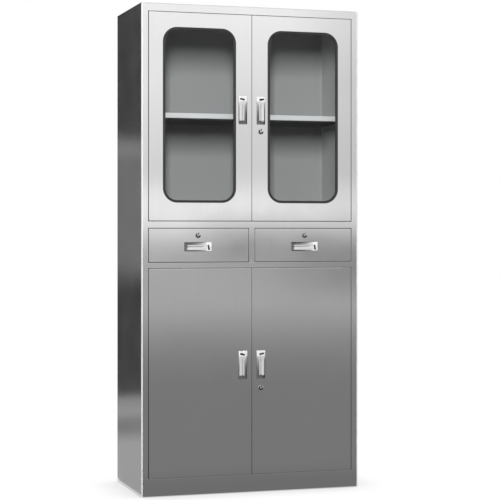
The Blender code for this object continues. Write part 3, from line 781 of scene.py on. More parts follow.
@dataclass(frozen=True)
class SidePanel:
    """Side of the cabinet, folded from one sheet with a boxed front post and a rear flange."""

    hand: Hand
    sheet: float = 1.0 * MM
    post_face: float = 25.6 * MM
    post_depth: float = 20.0 * MM
    post_hem: float = 14.0 * MM
    rear_flange: float = 20.0 * MM
    bend: float = 0.8 * MM
    corner_bend: float = 4.0 * MM
    steps: int = 10

    def build(self, finishes: Finishes) -> bpy.types.Object:
        """Carry the folded outline up the height of the side."""
        node = f"{self.hand.word}_side_panel"
        box = Extent.of(node)
        half = self.sheet / 2
        outer = max(abs(box.low[0]), abs(box.high[0]))
        front, back = box.low[1], box.high[1]
        inner = outer - self.post_face + half
        path = np.array(
            [
                (outer - self.rear_flange, back - half),
                (outer - half, back - half),
                (outer - half, front + half),
                (inner, front + half),
                (inner, front + self.post_depth - half),
                (outer - self.post_face + self.post_hem, front + self.post_depth - half),
            ]
        )
        radii = (self.bend, self.corner_bend, self.bend, self.bend)
        outline = folded_outline(path, radii, self.sheet, self.steps)
        outline = outline * np.array([self.hand.value, 1])
        shell = skin(swept(outline, box.low[2], box.high[2]), caps=True)
        piece = make_piece(f"{node}_folded", [shell], finishes.panel)
        self.line(piece.data, outer, front, finishes)
        return dress(piece, "cabinet", [node])

    def line(self, mesh: bpy.types.Mesh, outer: float, front: float, finishes: Finishes) -> None:
        """Pick the finish of each face by where it lies and where it turns.

        The inside of the wall is blasted and the outside has a hairline finish. The inside of the post is a
        dark grey, painted shade in the gap, and the long bend at the front corner is near white, a painted
        highlight.
        How far a face turns inwards or forwards is that share of its normal.
        """
        for finish in (finishes.wall, finishes.mill, finishes.side, finishes.edge):
            mesh.materials.append(finish)
        middle, turned = face_turns(mesh)
        inwards, forwards = -turned[:, 0] * self.hand.value, -turned[:, 1]
        across, depth = np.abs(middle[:, 0]), middle[:, 1] - front
        within, behind = across < outer - self.sheet / 2, depth > self.post_depth
        wall = within & behind & ((inwards > 0.1) | (forwards > 0.1))
        # The post's inner faces, in the gap beside the door, take the dark grey: painted shade.
        post = within & ~behind & (inwards > 0.45)
        side = (inwards < -0.999) & ~within
        # The long bend at the front corner takes the near-white finish: painted highlight.
        corner = self.corner_bend + self.sheet
        edge = (inwards < -0.04) & (forwards > 0.04) & (depth < corner) & (across > outer - corner)
        index = wall + 2 * post + 3 * side + 4 * edge
        mesh.polygons.foreach_set("material_index", index.astype(np.int32))


@dataclass(frozen=True)
class FrontFrame:
    """Faces of the rails and of the drawer upright, dressed sharp and ground flush with the posts."""

    rails: Mapping[str, tuple[float, float]]  # lowest and highest level of each rail's face
    post_face: float
    lap: float = 4.0 * MM  # reach over the welds on the posts
    plate: float = 0.05 * MM
    wrap: float = 5.0 * MM  # reach round the edges
    bend: float = 0.35 * MM
    steps: int = 4

    def rail(self, name: str, front: float, reach: float) -> Shell:
        """Thin channel over a rail's face, round each of its edges that faces a gap, carried along X."""
        low, high = self.rails[name]
        rear = front + self.wrap
        path = [(front, high), (front, low)]
        if name != "top_panel":
            path.insert(0, (rear, high))
        if name == "base_panel":
            path[-1] = (front, low + self.plate)
        else:
            path.append((rear, low))
        outline = folded_outline(np.array(path), [self.bend] * (len(path) - 2), self.plate, self.steps)
        return skin(swept(outline, -reach, reach)[..., [2, 0, 1]], caps=True)

    def upright(self, front: float) -> Shell:
        """The same channel over the drawer upright, carried from rail to rail."""
        edge = Extent.of("drawer_divider").half[0] + self.plate / 2
        rear = front + self.wrap
        path = np.array([(-edge, rear), (-edge, front), (edge, front), (edge, rear)])
        outline = folded_outline(path, [self.bend] * 2, self.plate, self.steps)
        low, high = self.rails["lower_deck"][1], self.rails["upper_deck"][0]
        return skin(swept(outline, low - self.bend, high + self.bend), caps=True)

    def build(self, finishes: Finishes) -> bpy.types.Object:
        """Cover every rail and the upright."""
        box = Extent.of("right_side_panel")
        front, reach = box.low[1] - self.plate, box.high[0] - self.post_face + self.lap
        shells = [self.rail(name, front, reach) for name in self.rails]
        shells.append(self.upright(front))
        return dress(make_piece("front_frame_faces", shells, finishes.panel), "cabinet")


@dataclass(frozen=True)
class Pull:
    """Recessed pull: a flat collar round the hole, a cup behind it, and a grip with a flared head over it."""

    node: str
    body: str
    place: Place
    length: float = 106 * MM
    width: float = 34 * MM
    depth: float = 12.5 * MM
    corner: float = 2.4 * MM
    corner_steps: int = 5
    collar: float = 0.5 * MM  # width of the collar
    proud: float = 0.15 * MM  # height of the collar over the sheet
    cup_wall: float = 0.4 * MM
    cup_floor: float = 0.8 * MM
    head: float = 21 * MM
    head_gap: float = 1.7 * MM  # from the end of the pull to the head
    head_inset: float = 0.5 * MM  # from the sides of the pull to the head
    head_round: float = 2.4 * MM  # stretch over which the end of the head is rounded
    shoulder: float = 22 * MM  # stretch over which the head narrows to the bar
    shoulder_rise: float = 2.0 * MM  # start of that stretch over the neck
    bar: float = 19.8 * MM
    bar_edge: float = 13.4 * MM  # edge of the bar on the pivot side, from the middle
    foot_gap: float = 12.0 * MM  # from the end of the pull to the end of the bar
    foot_turn: float = 4.5 * MM  # radius on which the bar turns into the hollow
    foot_drop: float = 6.0 * MM  # straight stretch after that turn
    ridge: float = 2.2 * MM  # top of the bar over the sheet
    arch: float = 1.8 * MM  # rise of the bar's top over its edges
    under: float = 2.0 * MM  # from the edges down to the flat underside
    crown: float = 1.2 * MM  # rise of the head over the bar
    groove: float = 3.2 * MM
    groove_place: tuple[float, float] = (-0.3, 0.3)  # middle and spread, as shares of half the width
    ramp: float = 72 * MM
    slot: tuple[float, float] = (9.6 * MM, 3.5 * MM)
    slot_place: tuple[float, float] = (2.4 * MM, 13.2 * MM)  # towards the pivot, and below the top
    slot_lean: float = 12.0  # degrees, down towards the free edge
    slot_foot: float = 0.7 * MM  # floor of the slot over the sheet
    tongue: float = 1.5 * MM  # top of the black tongue over the sheet
    tongue_gap: float = 0.1 * MM

    @property
    def half(self) -> np.ndarray:
        """Half width and half length over the collar."""
        return np.array([self.width, self.length]) / 2

    @property
    def neck(self) -> float:
        """Level at which the head ends."""
        return self.length / 2 - self.head

    def rim(self) -> Shell:
        """Flat collar with soft edges that turns into the hole, as one closed section round a rectangle."""
        edge, lip, ease, seat, tail = self.collar, 0.2 * MM, 0.15 * MM, 0.02 * MM, -1.2 * MM
        profile = np.array(
            [
                (0.0, seat),
                (ease, self.proud),
                (edge - ease, self.proud),
                (edge, self.proud - ease),
                (edge, tail),
                (edge - lip, tail),
                (edge - lip, seat),
            ]
        )
        rings = inset_rings(self.half, self.corner, profile, self.corner_steps)
        return skin(self.place.world(rings), close=True)

    def cup(self) -> tuple[Shell, Shell]:
        """Walls round the hole, and a floor that falls from the head to the foot, fast and then slower.

        The fall is the share along the ramp times two less that share.
        """
        gap, brim, rows = 0.1 * MM, -0.4 * MM, 17
        outer = self.collar + gap / 2
        inner = outer + self.cup_wall
        profile = np.array([(outer, brim), (inner, brim), (inner, -self.depth), (outer, -self.depth)])
        rings = inset_rings(self.half, self.corner, profile, self.corner_steps)
        walls = skin(self.place.world(rings), close=True)
        share = np.linspace(0.0, 1.0, rows)
        edge, reach = self.half - outer - gap
        along = np.concatenate([[reach], self.neck - self.ramp * share, [-reach]])
        fall = np.concatenate([[0.0], share * (2 - share), [1.0]])
        top = 2 * gap - (self.depth - 1.0 * MM) * fall
        section = np.array([(-edge, 0.0), (edge, 0.0), (edge, -self.cup_floor), (-edge, -self.cup_floor)])
        grid = np.stack(
            [
                np.broadcast_to(section[:, 0], (len(along), 4)),
                top[:, None] + section[:, 1],
                np.broadcast_to(along[:, None], (len(along), 4)),
            ],
            axis=-1,
        )
        return walls, skin(self.place.world(grid), caps=True)

    def grip(self) -> tuple[Shell, Shell]:
        """Flared head and fluted bar, a function of the shares along and across, parted at the neck.

        Across, the top is a flat-topped arch, one less the eighth power of the share, with a bell-shaped
        flute in the bar. Along, the width narrows from head to bar by a smooth step, the head is
        crowned, and the foot of the bar turns into the hollow on a quarter round.
        """
        top, turn = self.length / 2 - self.head_gap, self.foot_turn
        foot = self.foot_gap - self.length / 2
        straight = np.linspace(top, foot + turn, 65)
        angle = np.linspace(0.0, math.pi / 2, 9)[1:]
        level = np.zeros(len(straight))
        along = np.concatenate([straight, foot + turn * (1 - np.sin(angle)), [foot]])
        lean = np.concatenate([level, angle, [math.pi / 2]])
        sink = np.concatenate([level, turn * (1 - np.cos(angle)), [turn + self.foot_drop]])
        narrow = np.clip((self.neck + self.shoulder_rise - along) / self.shoulder, 0.0, 1.0)
        narrow = narrow * narrow * (3 - 2 * narrow)
        edge = self.half[0] - self.head_inset
        high = edge + (self.bar_edge - edge) * narrow
        low = -edge + (self.bar_edge - self.bar + edge) * narrow
        across = np.linspace(-1.0, 1.0, 41)
        arch = (1 - np.abs(across) ** 8) * self.arch
        dip, breadth = self.groove_place
        bell = np.exp(-(((across - dip) / breadth) ** 2)) * self.groove
        end = np.clip((top - along) / self.head_round, 0.0, 1.0)
        round_off = np.sqrt(1 - (1 - end) ** 2)
        rise = round_off[:, None] * (arch + self.crown * (1 - narrow[:, None])) - narrow[:, None] * bell
        height = np.concatenate([rise, np.full((len(along), 2), -self.under)], axis=1)
        spread = np.concatenate([across, [1.0, -1.0]])
        middle, reach = (high + low) / 2, (high - low) / 2
        base = self.ridge - self.arch - sink
        grid = np.stack(
            [
                middle[:, None] + reach[:, None] * spread,
                base[:, None] + height * np.cos(lean)[:, None],
                along[:, None] - height * np.sin(lean)[:, None],
            ],
            axis=-1,
        )
        rows = self.place.world(grid)
        parting = int(np.argmin(np.abs(straight - self.neck)))
        return skin(rows[: parting + 1], caps=True), skin(rows[parting:], caps=True)

    def slot_shell(self, ease: float, low: float, high: float) -> Shell:
        """Slanted round-ended block in the head between two heights, drawn in by an ease.

        Its ring is turned by the lean: across and along mix by the cosine and sine of the angle.
        """
        half = np.array(self.slot) - ease
        rings = inset_rings(half, 0.6 * half[1], np.array([(0.0, low), (0.0, high)]), self.corner_steps)
        lean = math.radians(self.slot_lean)
        across = rings[..., 0] * math.cos(lean) - rings[..., 2] * math.sin(lean) + self.slot_place[0]
        along = rings[..., 0] * math.sin(lean) + rings[..., 2] * math.cos(lean)
        level = self.length / 2 - self.slot_place[1]
        return skin(self.place.world(np.stack([across, rings[..., 1], along + level], axis=-1)), caps=True)

    def build(self, finishes: Finishes) -> None:
        """Collar, cup, bar and head with the slot cut in, and the black tongue behind the slot."""
        head_shell, bar_shell = self.grip()
        walls_shell, floor_shell = self.cup()
        slot = self.slot_shell(0.0, self.slot_foot, 8 * MM)
        insert = self.slot_shell(self.tongue_gap, self.slot_foot + self.tongue_gap, self.tongue)
        # The head's lighter plating is a painted highlight.
        head = make_piece(f"{self.node}_head", [head_shell], finishes.head)
        bore(head, [make_piece("slot_cutter", [slot], None)])
        bar = make_piece(f"{self.node}_bar", [bar_shell], finishes.bar)
        rim = make_piece(f"{self.node}_collar", [self.rim()], finishes.panel)
        # The cup's walls are dark grey: painted shade.
        walls = make_piece(f"{self.node}_cup_walls", [walls_shell], finishes.mill)
        # The cup floor darkens with its depth: painted shade.
        cup = make_piece(f"{self.node}_cup", [floor_shell], finishes.hollow)
        tongue = make_piece(f"{self.node}_tongue", [insert], finishes.plastic)
        dress(cup, self.body, [self.node])
        for plated in (walls, head, bar):
            dress(plated, self.body)
        dress(rim, self.body)
        dress(tongue, self.body)


@dataclass(frozen=True)
class CamLock:
    """Round cam lock: a bezel with two lugs over a black ring, a plug with a key slot, and a nut behind."""

    name: str
    door: str
    turning: str
    bezel: float = 10.4 * MM
    barrel: float = 8.5 * MM
    ring: float = 9.3 * MM  # outer radius of the black ring
    bore_radius: float = 6.2 * MM
    face: float = 4.0 * MM  # radius of the plug's face
    proud: float = 2.5 * MM
    seat: float = 0.3 * MM  # foot of the bezel over the sheet
    floor: float = 0.4 * MM  # seat of the black ring over the sheet
    clear: float = 0.3 * MM
    key_corner: float = 0.4 * MM
    nut: tuple[float, float, float] = (8.6 * MM, 12.2 * MM, 12.8 * MM)  # bore, end face and flats
    nut_place: tuple[float, float] = (-1.4 * MM, -4.3 * MM)  # its two end faces
    lugs: tuple[tuple[float, float], ...] = ((4.0, 60.0), (96.0, 126.0))  # degrees, the key's notch between; outside them, at the left and bottom, the black ring shows: painted dark reflection
    key: tuple[float, float, float] = (0.9 * MM, -1.0 * MM, 4.8 * MM)  # half width, foot and head of its slot
    steps: int = 48

    def body_profile(self, rear: float) -> np.ndarray:
        """Radius and height down the barrel, round the bezel and into the seat of the black ring."""
        chamfer, edge, lip = 0.4 * MM, 0.8 * MM, 0.3 * MM
        return np.concatenate(
            [
                [(self.bore_radius, rear), (self.barrel - chamfer, rear), (self.barrel, rear + chamfer)],
                [(self.barrel, self.seat), (self.bezel, self.seat)],
                arc((self.bezel - edge, self.proud - edge), edge, 0, 90, 6),
                arc((self.ring + lip, self.proud - lip), lip, 90, 180, 3),
                [(self.ring, self.floor), (self.bore_radius, self.floor)],
            ]
        )

    def plug_profile(self, rear: float, tail: float) -> np.ndarray:
        """Radius and height of the plug from its riveted tail to its rounded face."""
        core, chamfer, rivet, ease, dome = 0.2 * MM, 0.4 * MM, 2 * MM, 0.7 * MM, 0.1 * MM
        radius = self.bore_radius - self.clear
        neck, waist = radius - 1.0 * MM, radius / 2
        return np.concatenate(
            [
                [(core, tail), (neck - chamfer, tail), (neck, tail + chamfer), (neck, tail + rivet)],
                [(waist, tail + rivet), (waist, rear), (radius, rear)],
                [(radius, self.seat), (self.face, self.seat)],
                arc((self.face - ease, self.proud - ease - 2 * dome), ease, 0, 90, 5),
                [(core, self.proud - dome)],
            ]
        )

    def lug_shells(self, place: Place) -> list[Shell]:
        """Raised sectors of the bezel over the black ring: a section swung through angles."""
        ease, seat, lap = 0.3 * MM, 0.5 * MM, 0.2 * MM
        inner, outer, top = self.face + self.clear, self.ring + lap, self.proud - ease
        section = np.array(
            [(inner, seat), (outer, seat), (outer, top), (inner + ease, top), (inner, top - ease)]
        )
        shells = []
        for start, end in self.lugs:
            angle = np.radians(np.linspace(start, end, 13))[:, None]
            wide, tall = section[:, 0] * np.cos(angle), section[:, 0] * np.sin(angle)
            level = np.broadcast_to(section[:, 1], wide.shape)
            shells.append(skin(place.world(np.stack([wide, level, tall], axis=-1)), caps=True))
        return shells

    def ring_profile(self) -> np.ndarray:
        """Radius and height round the flat black ring."""
        inner, outer = self.face + 0.2 * MM, self.ring - 0.05 * MM
        low, high = 0.45 * MM, 0.85 * MM
        return np.array([(inner, low), (outer, low), (outer, high), (inner, high)])

    def nut_profile(self) -> np.ndarray:
        """Radius and height round the nut, with both ends eased."""
        bore_radius, face, flats = self.nut
        near, far = self.nut_place
        ease = 0.4 * MM
        outer = [(face, near), (flats, near - ease), (flats, far + ease), (face, far)]
        return np.array([(bore_radius, near), *outer, (bore_radius, far)])

    def key_shell(self, place: Place, ease: float, low: float, high: float) -> Shell:
        """Upright block of the key slot between two heights, drawn in by an ease."""
        half, foot, head = self.key
        flat = np.array([half, (head - foot) / 2]) - ease
        rings = inset_rings(flat, self.key_corner, np.array([(0.0, low), (0.0, high)]), 3)
        return skin(place.world(rings + np.array([0.0, 0.0, (head + foot) / 2])), caps=True)

    def build(self, finishes: Finishes, plane: float) -> None:
        """Turn the body, the black ring and the plug, cut the key slot, and thread the nut on the barrel."""
        stem = f"{self.name}_lock"
        body_box = Extent.of(f"{stem}_body")
        place = Place(body_box.middle[0], body_box.middle[2], plane)
        rear, tail = plane - body_box.high[1], plane - Extent.of(f"{stem}_plug").high[1]

        def turned(profile: np.ndarray, steps: int = self.steps, solid: bool = False) -> Shell:
            """Profile turned round the lock's axis, a solid one filled at both ends."""
            return skin(place.world(spun(profile, steps)), close=not solid, caps=solid)

        bezel = [turned(self.body_profile(rear)), *self.lug_shells(place)]
        body = make_piece(f"{stem}_bezel", bezel, finishes.chrome)
        # The black ring, bare between the lugs at the left and bottom, stands in for the bezel's dark
        # reflection there: painted reflection.
        ring = make_piece(f"{stem}_ring", [turned(self.ring_profile())], finishes.plastic)
        core = turned(self.plug_profile(rear, tail), solid=True)
        plug = make_piece(f"{stem}_core", [core], finishes.chrome)
        bore(plug, [make_piece("key_cutter", [self.key_shell(place, 0.0, -4 * MM, 6 * MM)], None)])
        # A black block set in the key slot: painted shade.
        block = self.key_shell(place, 0.05 * MM, -3.5 * MM, 0.2 * MM)
        shutter = make_piece(f"{self.name}_key_shutter", [block], finishes.plastic)
        nut = make_piece(f"{stem}_nut", [turned(self.nut_profile(), 6)], finishes.zinc)
        dress(body, self.door, [f"{stem}_body"])
        dress(ring, self.door)
        dress(plug, self.turning, [f"{stem}_plug"])
        dress(shutter, self.turning)
        dress(nut, self.door)


@dataclass(frozen=True)
class BoltGuide:
    """Angle inside a left door that its top bolt stands on and slides through."""

    bolt: str
    body: str
    width: float = 22 * MM
    flange: float = 14 * MM
    sheet: float = 1.5 * MM
    bend: float = 1.6 * MM
    drop: float = 62.6 * MM  # from the top of the bolt down to the angle
    rod: float = 4.0 * MM  # radius of the bolt
    clear: float = 0.3 * MM
    steps: int = 24

    def hole(self, low: float, high: float) -> bpy.types.Object:
        """Round cutter for the bolt between two levels."""
        box = Extent.of(self.bolt)
        ring = arc((box.middle[0], box.low[1] + self.rod), self.rod + self.clear, 0, 360, self.steps)[:-1]
        return make_piece("bolt_cutter", [skin(swept(ring, low, high), caps=True)], None)

    def build(self, finishes: Finishes, leaf: Extent, wall: float) -> bpy.types.Object:
        """Fold the angle against the inside of the leaf's face and bore it.

        Args:
            finishes: Materials.
            leaf: Box of the leaf.
            wall: Thickness of the leaf's sheet.

        Returns:
            The angle.
        """
        box = Extent.of(self.bolt)
        level = box.high[2] - self.drop - self.sheet / 2
        near = leaf.low[1] + wall + self.sheet / 2
        path = np.array([(leaf.high[1] - 1.3 * wall, level), (near, level), (near, level - self.flange)])
        outline = folded_outline(path, [self.bend], self.sheet, 6)
        grid = swept(outline, box.middle[0] - self.width / 2, box.middle[0] + self.width / 2)[..., [2, 0, 1]]
        angle = make_piece(f"{self.bolt}_guide", [skin(grid, caps=True)], finishes.zinc)
        bore(angle, [self.hole(level - CUT_REACH, level + CUT_REACH)])
        return dress(angle, self.body)


@dataclass(frozen=True)
class Leaf:
    """Folded pan of a door or a drawer front, with round bends, a hem and holes for its fittings."""

    node: str
    body: str
    sheet: float = 1.0 * MM
    bend: float = 0.8 * MM
    corner: float = 2.2 * MM
    hem: float = 15 * MM
    pull_lap: float = 0.45 * MM  # how far a pull covers the edge of its hole
    pull_corner: float = 2.0 * MM
    lock_lap: float = 1.7 * MM
    lock_corner: float = 8.8 * MM
    over_top: float = 0.0  # how far the leaf closes the gap over it
    over_foot: float = 0.0  # and the gap under it
    steps: int = 6
    corner_steps: int = 8

    def section(self, depth: float) -> np.ndarray:
        """Inset and depth of the folded edge, from the face outwards, round to the hem and back inside."""
        r, s = self.bend, self.sheet
        q = max(r - s, 0.2 * MM)
        flat = max(r, s + q) + 0.6 * MM
        outer = [
            [(flat, 0.0)],
            arc((r, r), r, 270, 180, self.steps),
            arc((r, depth - r), r, 180, 90, self.steps),
            [(self.hem, depth), (self.hem, depth - s)],
        ]
        inner = [
            arc((s + q, depth - s - q), q, 90, 180, self.steps),
            arc((s + q, s + q), q, 180, 270, self.steps),
            [(flat, s)],
        ]
        return np.concatenate(outer + inner)

    def rings(self, box: Extent) -> np.ndarray:
        """Folded edge carried round the outline of the leaf, in world places."""
        half = box.half[[0, 2]] + np.array([0.0, (self.over_top + self.over_foot) / 2])
        level = box.middle[2] + (self.over_top - self.over_foot) / 2
        profile = self.section(2 * box.half[1])
        grid = inset_rings(half, self.corner, profile, self.corner_steps)
        return grid + np.array([box.middle[0], box.low[1], level])

    def hole(self, box: Extent, lap: float, corner: float, plane: float) -> bpy.types.Object:
        """Cutter through the face for a fitting with the given box, which laps over the hole."""
        half = box.half[[0, 2]] - lap
        rings = inset_rings(half, corner, np.array([(0.0, -CUT_REACH), (0.0, CUT_REACH)]), self.steps)
        grid = rings + np.array([box.middle[0], plane, box.middle[2]])
        return make_piece("hole_cutter", [skin(grid, caps=True)], None)

    def build(
        self,
        finishes: Finishes,
        pull: str,
        lock: str | None,
        window: np.ndarray | None = None,
        guide: BoltGuide | None = None,
    ) -> bpy.types.Object:
        """Fold the leaf and cut the holes for the pull, the lock and the bolt.

        Args:
            finishes: Materials.
            pull: Node of the pull.
            lock: Node of the lock's body, if the leaf has one.
            window: Ring of the window's cut edge on the face, if the leaf is glazed.
            guide: Guide of the top bolt, if the leaf has one.

        Returns:
            The leaf.
        """
        box = Extent.of(self.node)
        grid = self.rings(box)
        if window is None:
            shell = skin(grid, caps=True)
        else:
            inside = window + np.array([0.0, self.sheet, 0.0])
            shell = skin(np.concatenate([window[None], grid, inside[None]]), close=True)
        leaf = make_piece(f"{self.node}_folded", [shell], finishes.panel)
        plane = box.low[1]
        cutters = [self.hole(Extent.of(pull), self.pull_lap, self.pull_corner, plane)]
        if lock:
            cutters.append(self.hole(Extent.of(lock), self.lock_lap, self.lock_corner, plane))
        if guide:
            guide.build(finishes, box, self.sheet)
            cutters.append(guide.hole(box.high[2] - 2 * CUT_REACH, box.high[2] + CUT_REACH))
        bore(leaf, cutters)
        return dress(leaf, self.body, [self.node])


@dataclass(frozen=True)
class Window:
    """Black seal and pane of a glazed door."""

    hand: Hand
    radius: float = 55 * MM
    lip: float = 3.5 * MM  # seal over the steel
    web: float = 2.5 * MM
    cover: float = 4.0 * MM  # seal over the glass
    slim: float = 0.7 * MM  # how far the front bead stays inside the rear one
    proud: float = 1.8 * MM
    sheet: float = 1.0 * MM
    glass: float = 4.0 * MM
    fit: float = 0.3 * MM
    rear: float = 1.5 * MM  # thickness of the lips behind
    parting: float = 0.52  # place of the line between the beads, as a share of the seal's width
    fullness: float = 0.6  # power that fills out the round of the beads
    steps: int = 20

    @property
    def body(self) -> str:
        """Body that the window swings with."""
        return f"upper_{self.hand.word}_door"

    def spread(self, profile: np.ndarray, plane: float, steps: int) -> np.ndarray:
        """A profile of inset and depth behind the front plane carried round the window."""
        box = Extent.of(f"upper_{self.hand.word}_window_seal")
        rings = inset_rings(box.half[[0, 2]], self.radius, profile, steps)
        return rings + np.array([box.middle[0], plane, box.middle[2]])

    def cut_edge(self, plane: float, steps: int) -> np.ndarray:
        """Ring of the hole in the steel, on the front plane."""
        return self.spread(np.array([(self.lip, 0.0)]), plane, steps)[0]

    def seal_profile(self) -> np.ndarray:
        """Inset and depth round the seal: two rounded beads, a line between them, and the two grooves.

        Across a bead the inset goes by the cosine of an even angle, and the rise is a power of its sine.
        """
        grip, f, p = self.lip + self.web, self.fit, self.proud
        edge = grip + self.cover
        middle = self.parting * edge
        share = np.linspace(0.0, math.pi, 9)
        across, rise = (1 - np.cos(share)) / 2, p * np.sin(share) ** self.fullness
        outer = np.stack([self.slim + (middle - self.slim) * across, -f - rise], axis=-1)
        inner = np.stack([middle + (edge - middle) * across, -f - 0.85 * rise], axis=-1)
        line = np.array([(middle, -f - 0.35 * p)])
        hold, pane, steel, heel = self.lip + f, self.glass + f, self.sheet + f, 0.5 * MM
        back = np.array(
            [
                (edge, -f),
                (grip - f, -f),
                (grip - f, pane),
                (edge, pane),
                (edge - 0.8 * MM, pane + self.rear),
                (hold, pane + self.rear),
                (heel, steel + self.rear),
                (heel, steel),
                (hold, steel),
                (hold, -f),
            ]
        )
        return np.concatenate([outer[:-1], line, inner[1:-1], back])

    def build(self, finishes: Finishes, plane: float) -> None:
        """Carry the seal round the window and set the pane in it."""
        stem = f"upper_{self.hand.word}_window"
        strip = skin(self.spread(self.seal_profile(), plane, self.steps), close=True)
        seal = make_piece(f"{stem}_seal_strip", [strip], finishes.rubber)
        dress(seal, self.body, [f"{stem}_seal"])
        grip, ease = self.lip + self.web, 0.4 * MM
        section = np.concatenate(
            [
                [(grip + 3 * ease, 0.0)],
                arc((grip + ease, ease), ease, 270, 180, 3),
                arc((grip + ease, self.glass - ease), ease, 180, 90, 3),
                [(grip + 3 * ease, self.glass)],
            ]
        )
        sheet = skin(self.spread(section, plane, self.steps), caps=True)
        pane = make_piece(f"{stem}_pane", [sheet], finishes.glass)
        dress(pane, self.body, [f"{stem}_glass"])


@dataclass(frozen=True)
class Rivets:
    """Blind rivets that hold the back to the flanges of the sides."""

    radius: float = 3.2 * MM
    height: float = 0.9 * MM
    pitch: float = 165 * MM
    inset: float = 9 * MM
    sunk: float = 0.4 * MM  # depth of the rim in the flange
    steps: int = 10

    def build(self, finishes: Finishes) -> bpy.types.Object:
        """One low dome, repeated down both flanges.

        The dome's radius and height are the cosine and sine of its angle, flattened, over a rim.
        """
        box = Extent.of("left_side_panel")
        back, edge = box.high[1], -box.low[0] - self.inset
        angle = np.radians(np.array([0.0, 30.0, 60.0, 86.0]))
        profile = np.stack([self.radius * np.cos(angle), self.height * np.sin(angle)], axis=-1)
        dome = spun(np.concatenate([[(self.radius, -self.sunk)], profile]), self.steps)
        levels = np.arange(box.low[2] + self.pitch / 2, box.high[2], self.pitch)
        shells = [skin(dome + np.array([x, back, z]), caps=True) for x in (-edge, edge) for z in levels]
        return dress(make_piece("back_rivets", shells, finishes.zinc), "cabinet")


@dataclass(frozen=True)
class Cabinet:
    """The whole cabinet: its folded panels, doors, drawers and fittings."""

    finishes: Finishes
    nodes: Mapping[str, bpy.types.Object]
    upward: float = 0.7  # least upward share of the normal of a face that counts as a top
    lip: float = 1.5 * MM  # depth within which a shelf's face belongs to its front lip
    gap: float = 1.75 * MM  # between a leaf and a rail's face
    roof_bend: float = 4.0 * MM
    lap: float = 0.8 * MM  # how far a door closes the gap at its outer end

    def finish_frame(self) -> None:
        """Give each CAD node that stays in view the material of what it is, and a shelf's faces other than
        its top and front lip a darker grey: painted shade.
        """
        lining = ("back_panel", "bearer", "tray", "stiffener")
        plated = ("runner", "pin", "bolt", "cam")
        for name, piece in self.nodes.items():
            mesh, other = piece.data, None
            middle, turned = face_turns(mesh)
            upward = turned[:, 2] > self.upward
            finish = self.finishes.zinc if name.endswith(plated) else self.finishes.panel
            if any(word in name for word in lining):
                finish = self.finishes.lining
            # A shelf's top and front lip take its own finish, and the rest the darker grey: painted shade.
            if name.endswith("shelf"):
                lip = middle[:, 1] < Extent.of(name).low[1] + self.lip
                finish, other, index = self.finishes.shelf, self.finishes.under, ~(upward | lip)
            if name == "top_panel":
                other, index = self.finishes.roof, upward
            mesh.materials.clear()
            mesh.materials.append(finish)
            if other:
                mesh.materials.append(other)
                mesh.polygons.foreach_set("material_index", index.astype(np.int32))

    def door(self, level: Level, hand: Hand) -> None:
        """Leaf, window, pull and lock of one door."""
        stem = f"{level.value}_{hand.word}"
        body = f"{stem}_door"
        glazed = level is Level.UPPER
        if glazed:
            leaf = Leaf(f"{body}_frame", body, over_top=self.lap)
        else:
            leaf = Leaf(f"{body}_panel", body, over_foot=self.lap)
        plane = Extent.of(leaf.node).low[1]
        lock = f"{stem}_lock_body" if hand is Hand.RIGHT else None
        window = Window(hand)
        edge = window.cut_edge(plane, leaf.corner_steps) if glazed else None
        guide = BoltGuide(f"{body}_bolt", body) if hand is Hand.LEFT else None
        leaf.build(self.finishes, f"{stem}_pull", lock, edge, guide)
        if glazed:
            window.build(self.finishes, plane)
        box = Extent.of(f"{stem}_pull")
        Pull(f"{stem}_pull", body, Place(box.middle[0], box.middle[2], plane, hand)).build(self.finishes)
        if lock:
            CamLock(stem, body, f"{stem}_lock").build(self.finishes, plane)

    def drawer(self, hand: Hand) -> None:
        """Front, pull and lock of one drawer."""
        body = f"{hand.word}_drawer"
        leaf = Leaf(f"{body}_front", body)
        plane = Extent.of(leaf.node).low[1]
        leaf.build(self.finishes, f"{body}_pull", f"{body}_lock_body")
        box = Extent.of(f"{body}_pull")
        place = Place(box.middle[0], box.middle[2], plane, Hand.RIGHT, Set.LYING)
        Pull(f"{body}_pull", body, place).build(self.finishes)
        CamLock(body, body, f"{body}_lock").build(self.finishes, plane)

    def rails(self) -> dict[str, tuple[float, float]]:
        """Lowest and highest level of each rail's face, from the gaps round the leaves."""
        upper, lower = Extent.of("upper_left_door_frame"), Extent.of("lower_left_door_panel")
        front, whole = Extent.of("left_drawer_front"), Extent.of("left_side_panel")
        gap = self.gap
        return {
            "top_panel": (upper.high[2] + gap, whole.high[2] - self.roof_bend),
            "upper_deck": (front.high[2] + gap, upper.low[2] - gap),
            "lower_deck": (lower.high[2] + gap, front.low[2] - gap),
            "base_panel": (whole.low[2], lower.low[2] - gap),
        }

    def build(self) -> None:
        """Build every sub-assembly in order."""
        self.finish_frame()
        for hand in Hand:
            SidePanel(hand).build(self.finishes)
        FrontFrame(self.rails(), SidePanel.post_face).build(self.finishes)
        for level in Level:
            for hand in Hand:
                self.door(level, hand)
        for hand in Hand:
            self.drawer(hand)
        Rivets().build(self.finishes)


@dataclass(frozen=True)
class Band:
    """Soft-edged stretch of a card that is brighter or darker than the rest, by its gain."""

    middle: float
    half: float
    soft: float
    gain: float
    ramp: tuple[float, float] | None = None  # x where the band starts, and x where it has its full gain


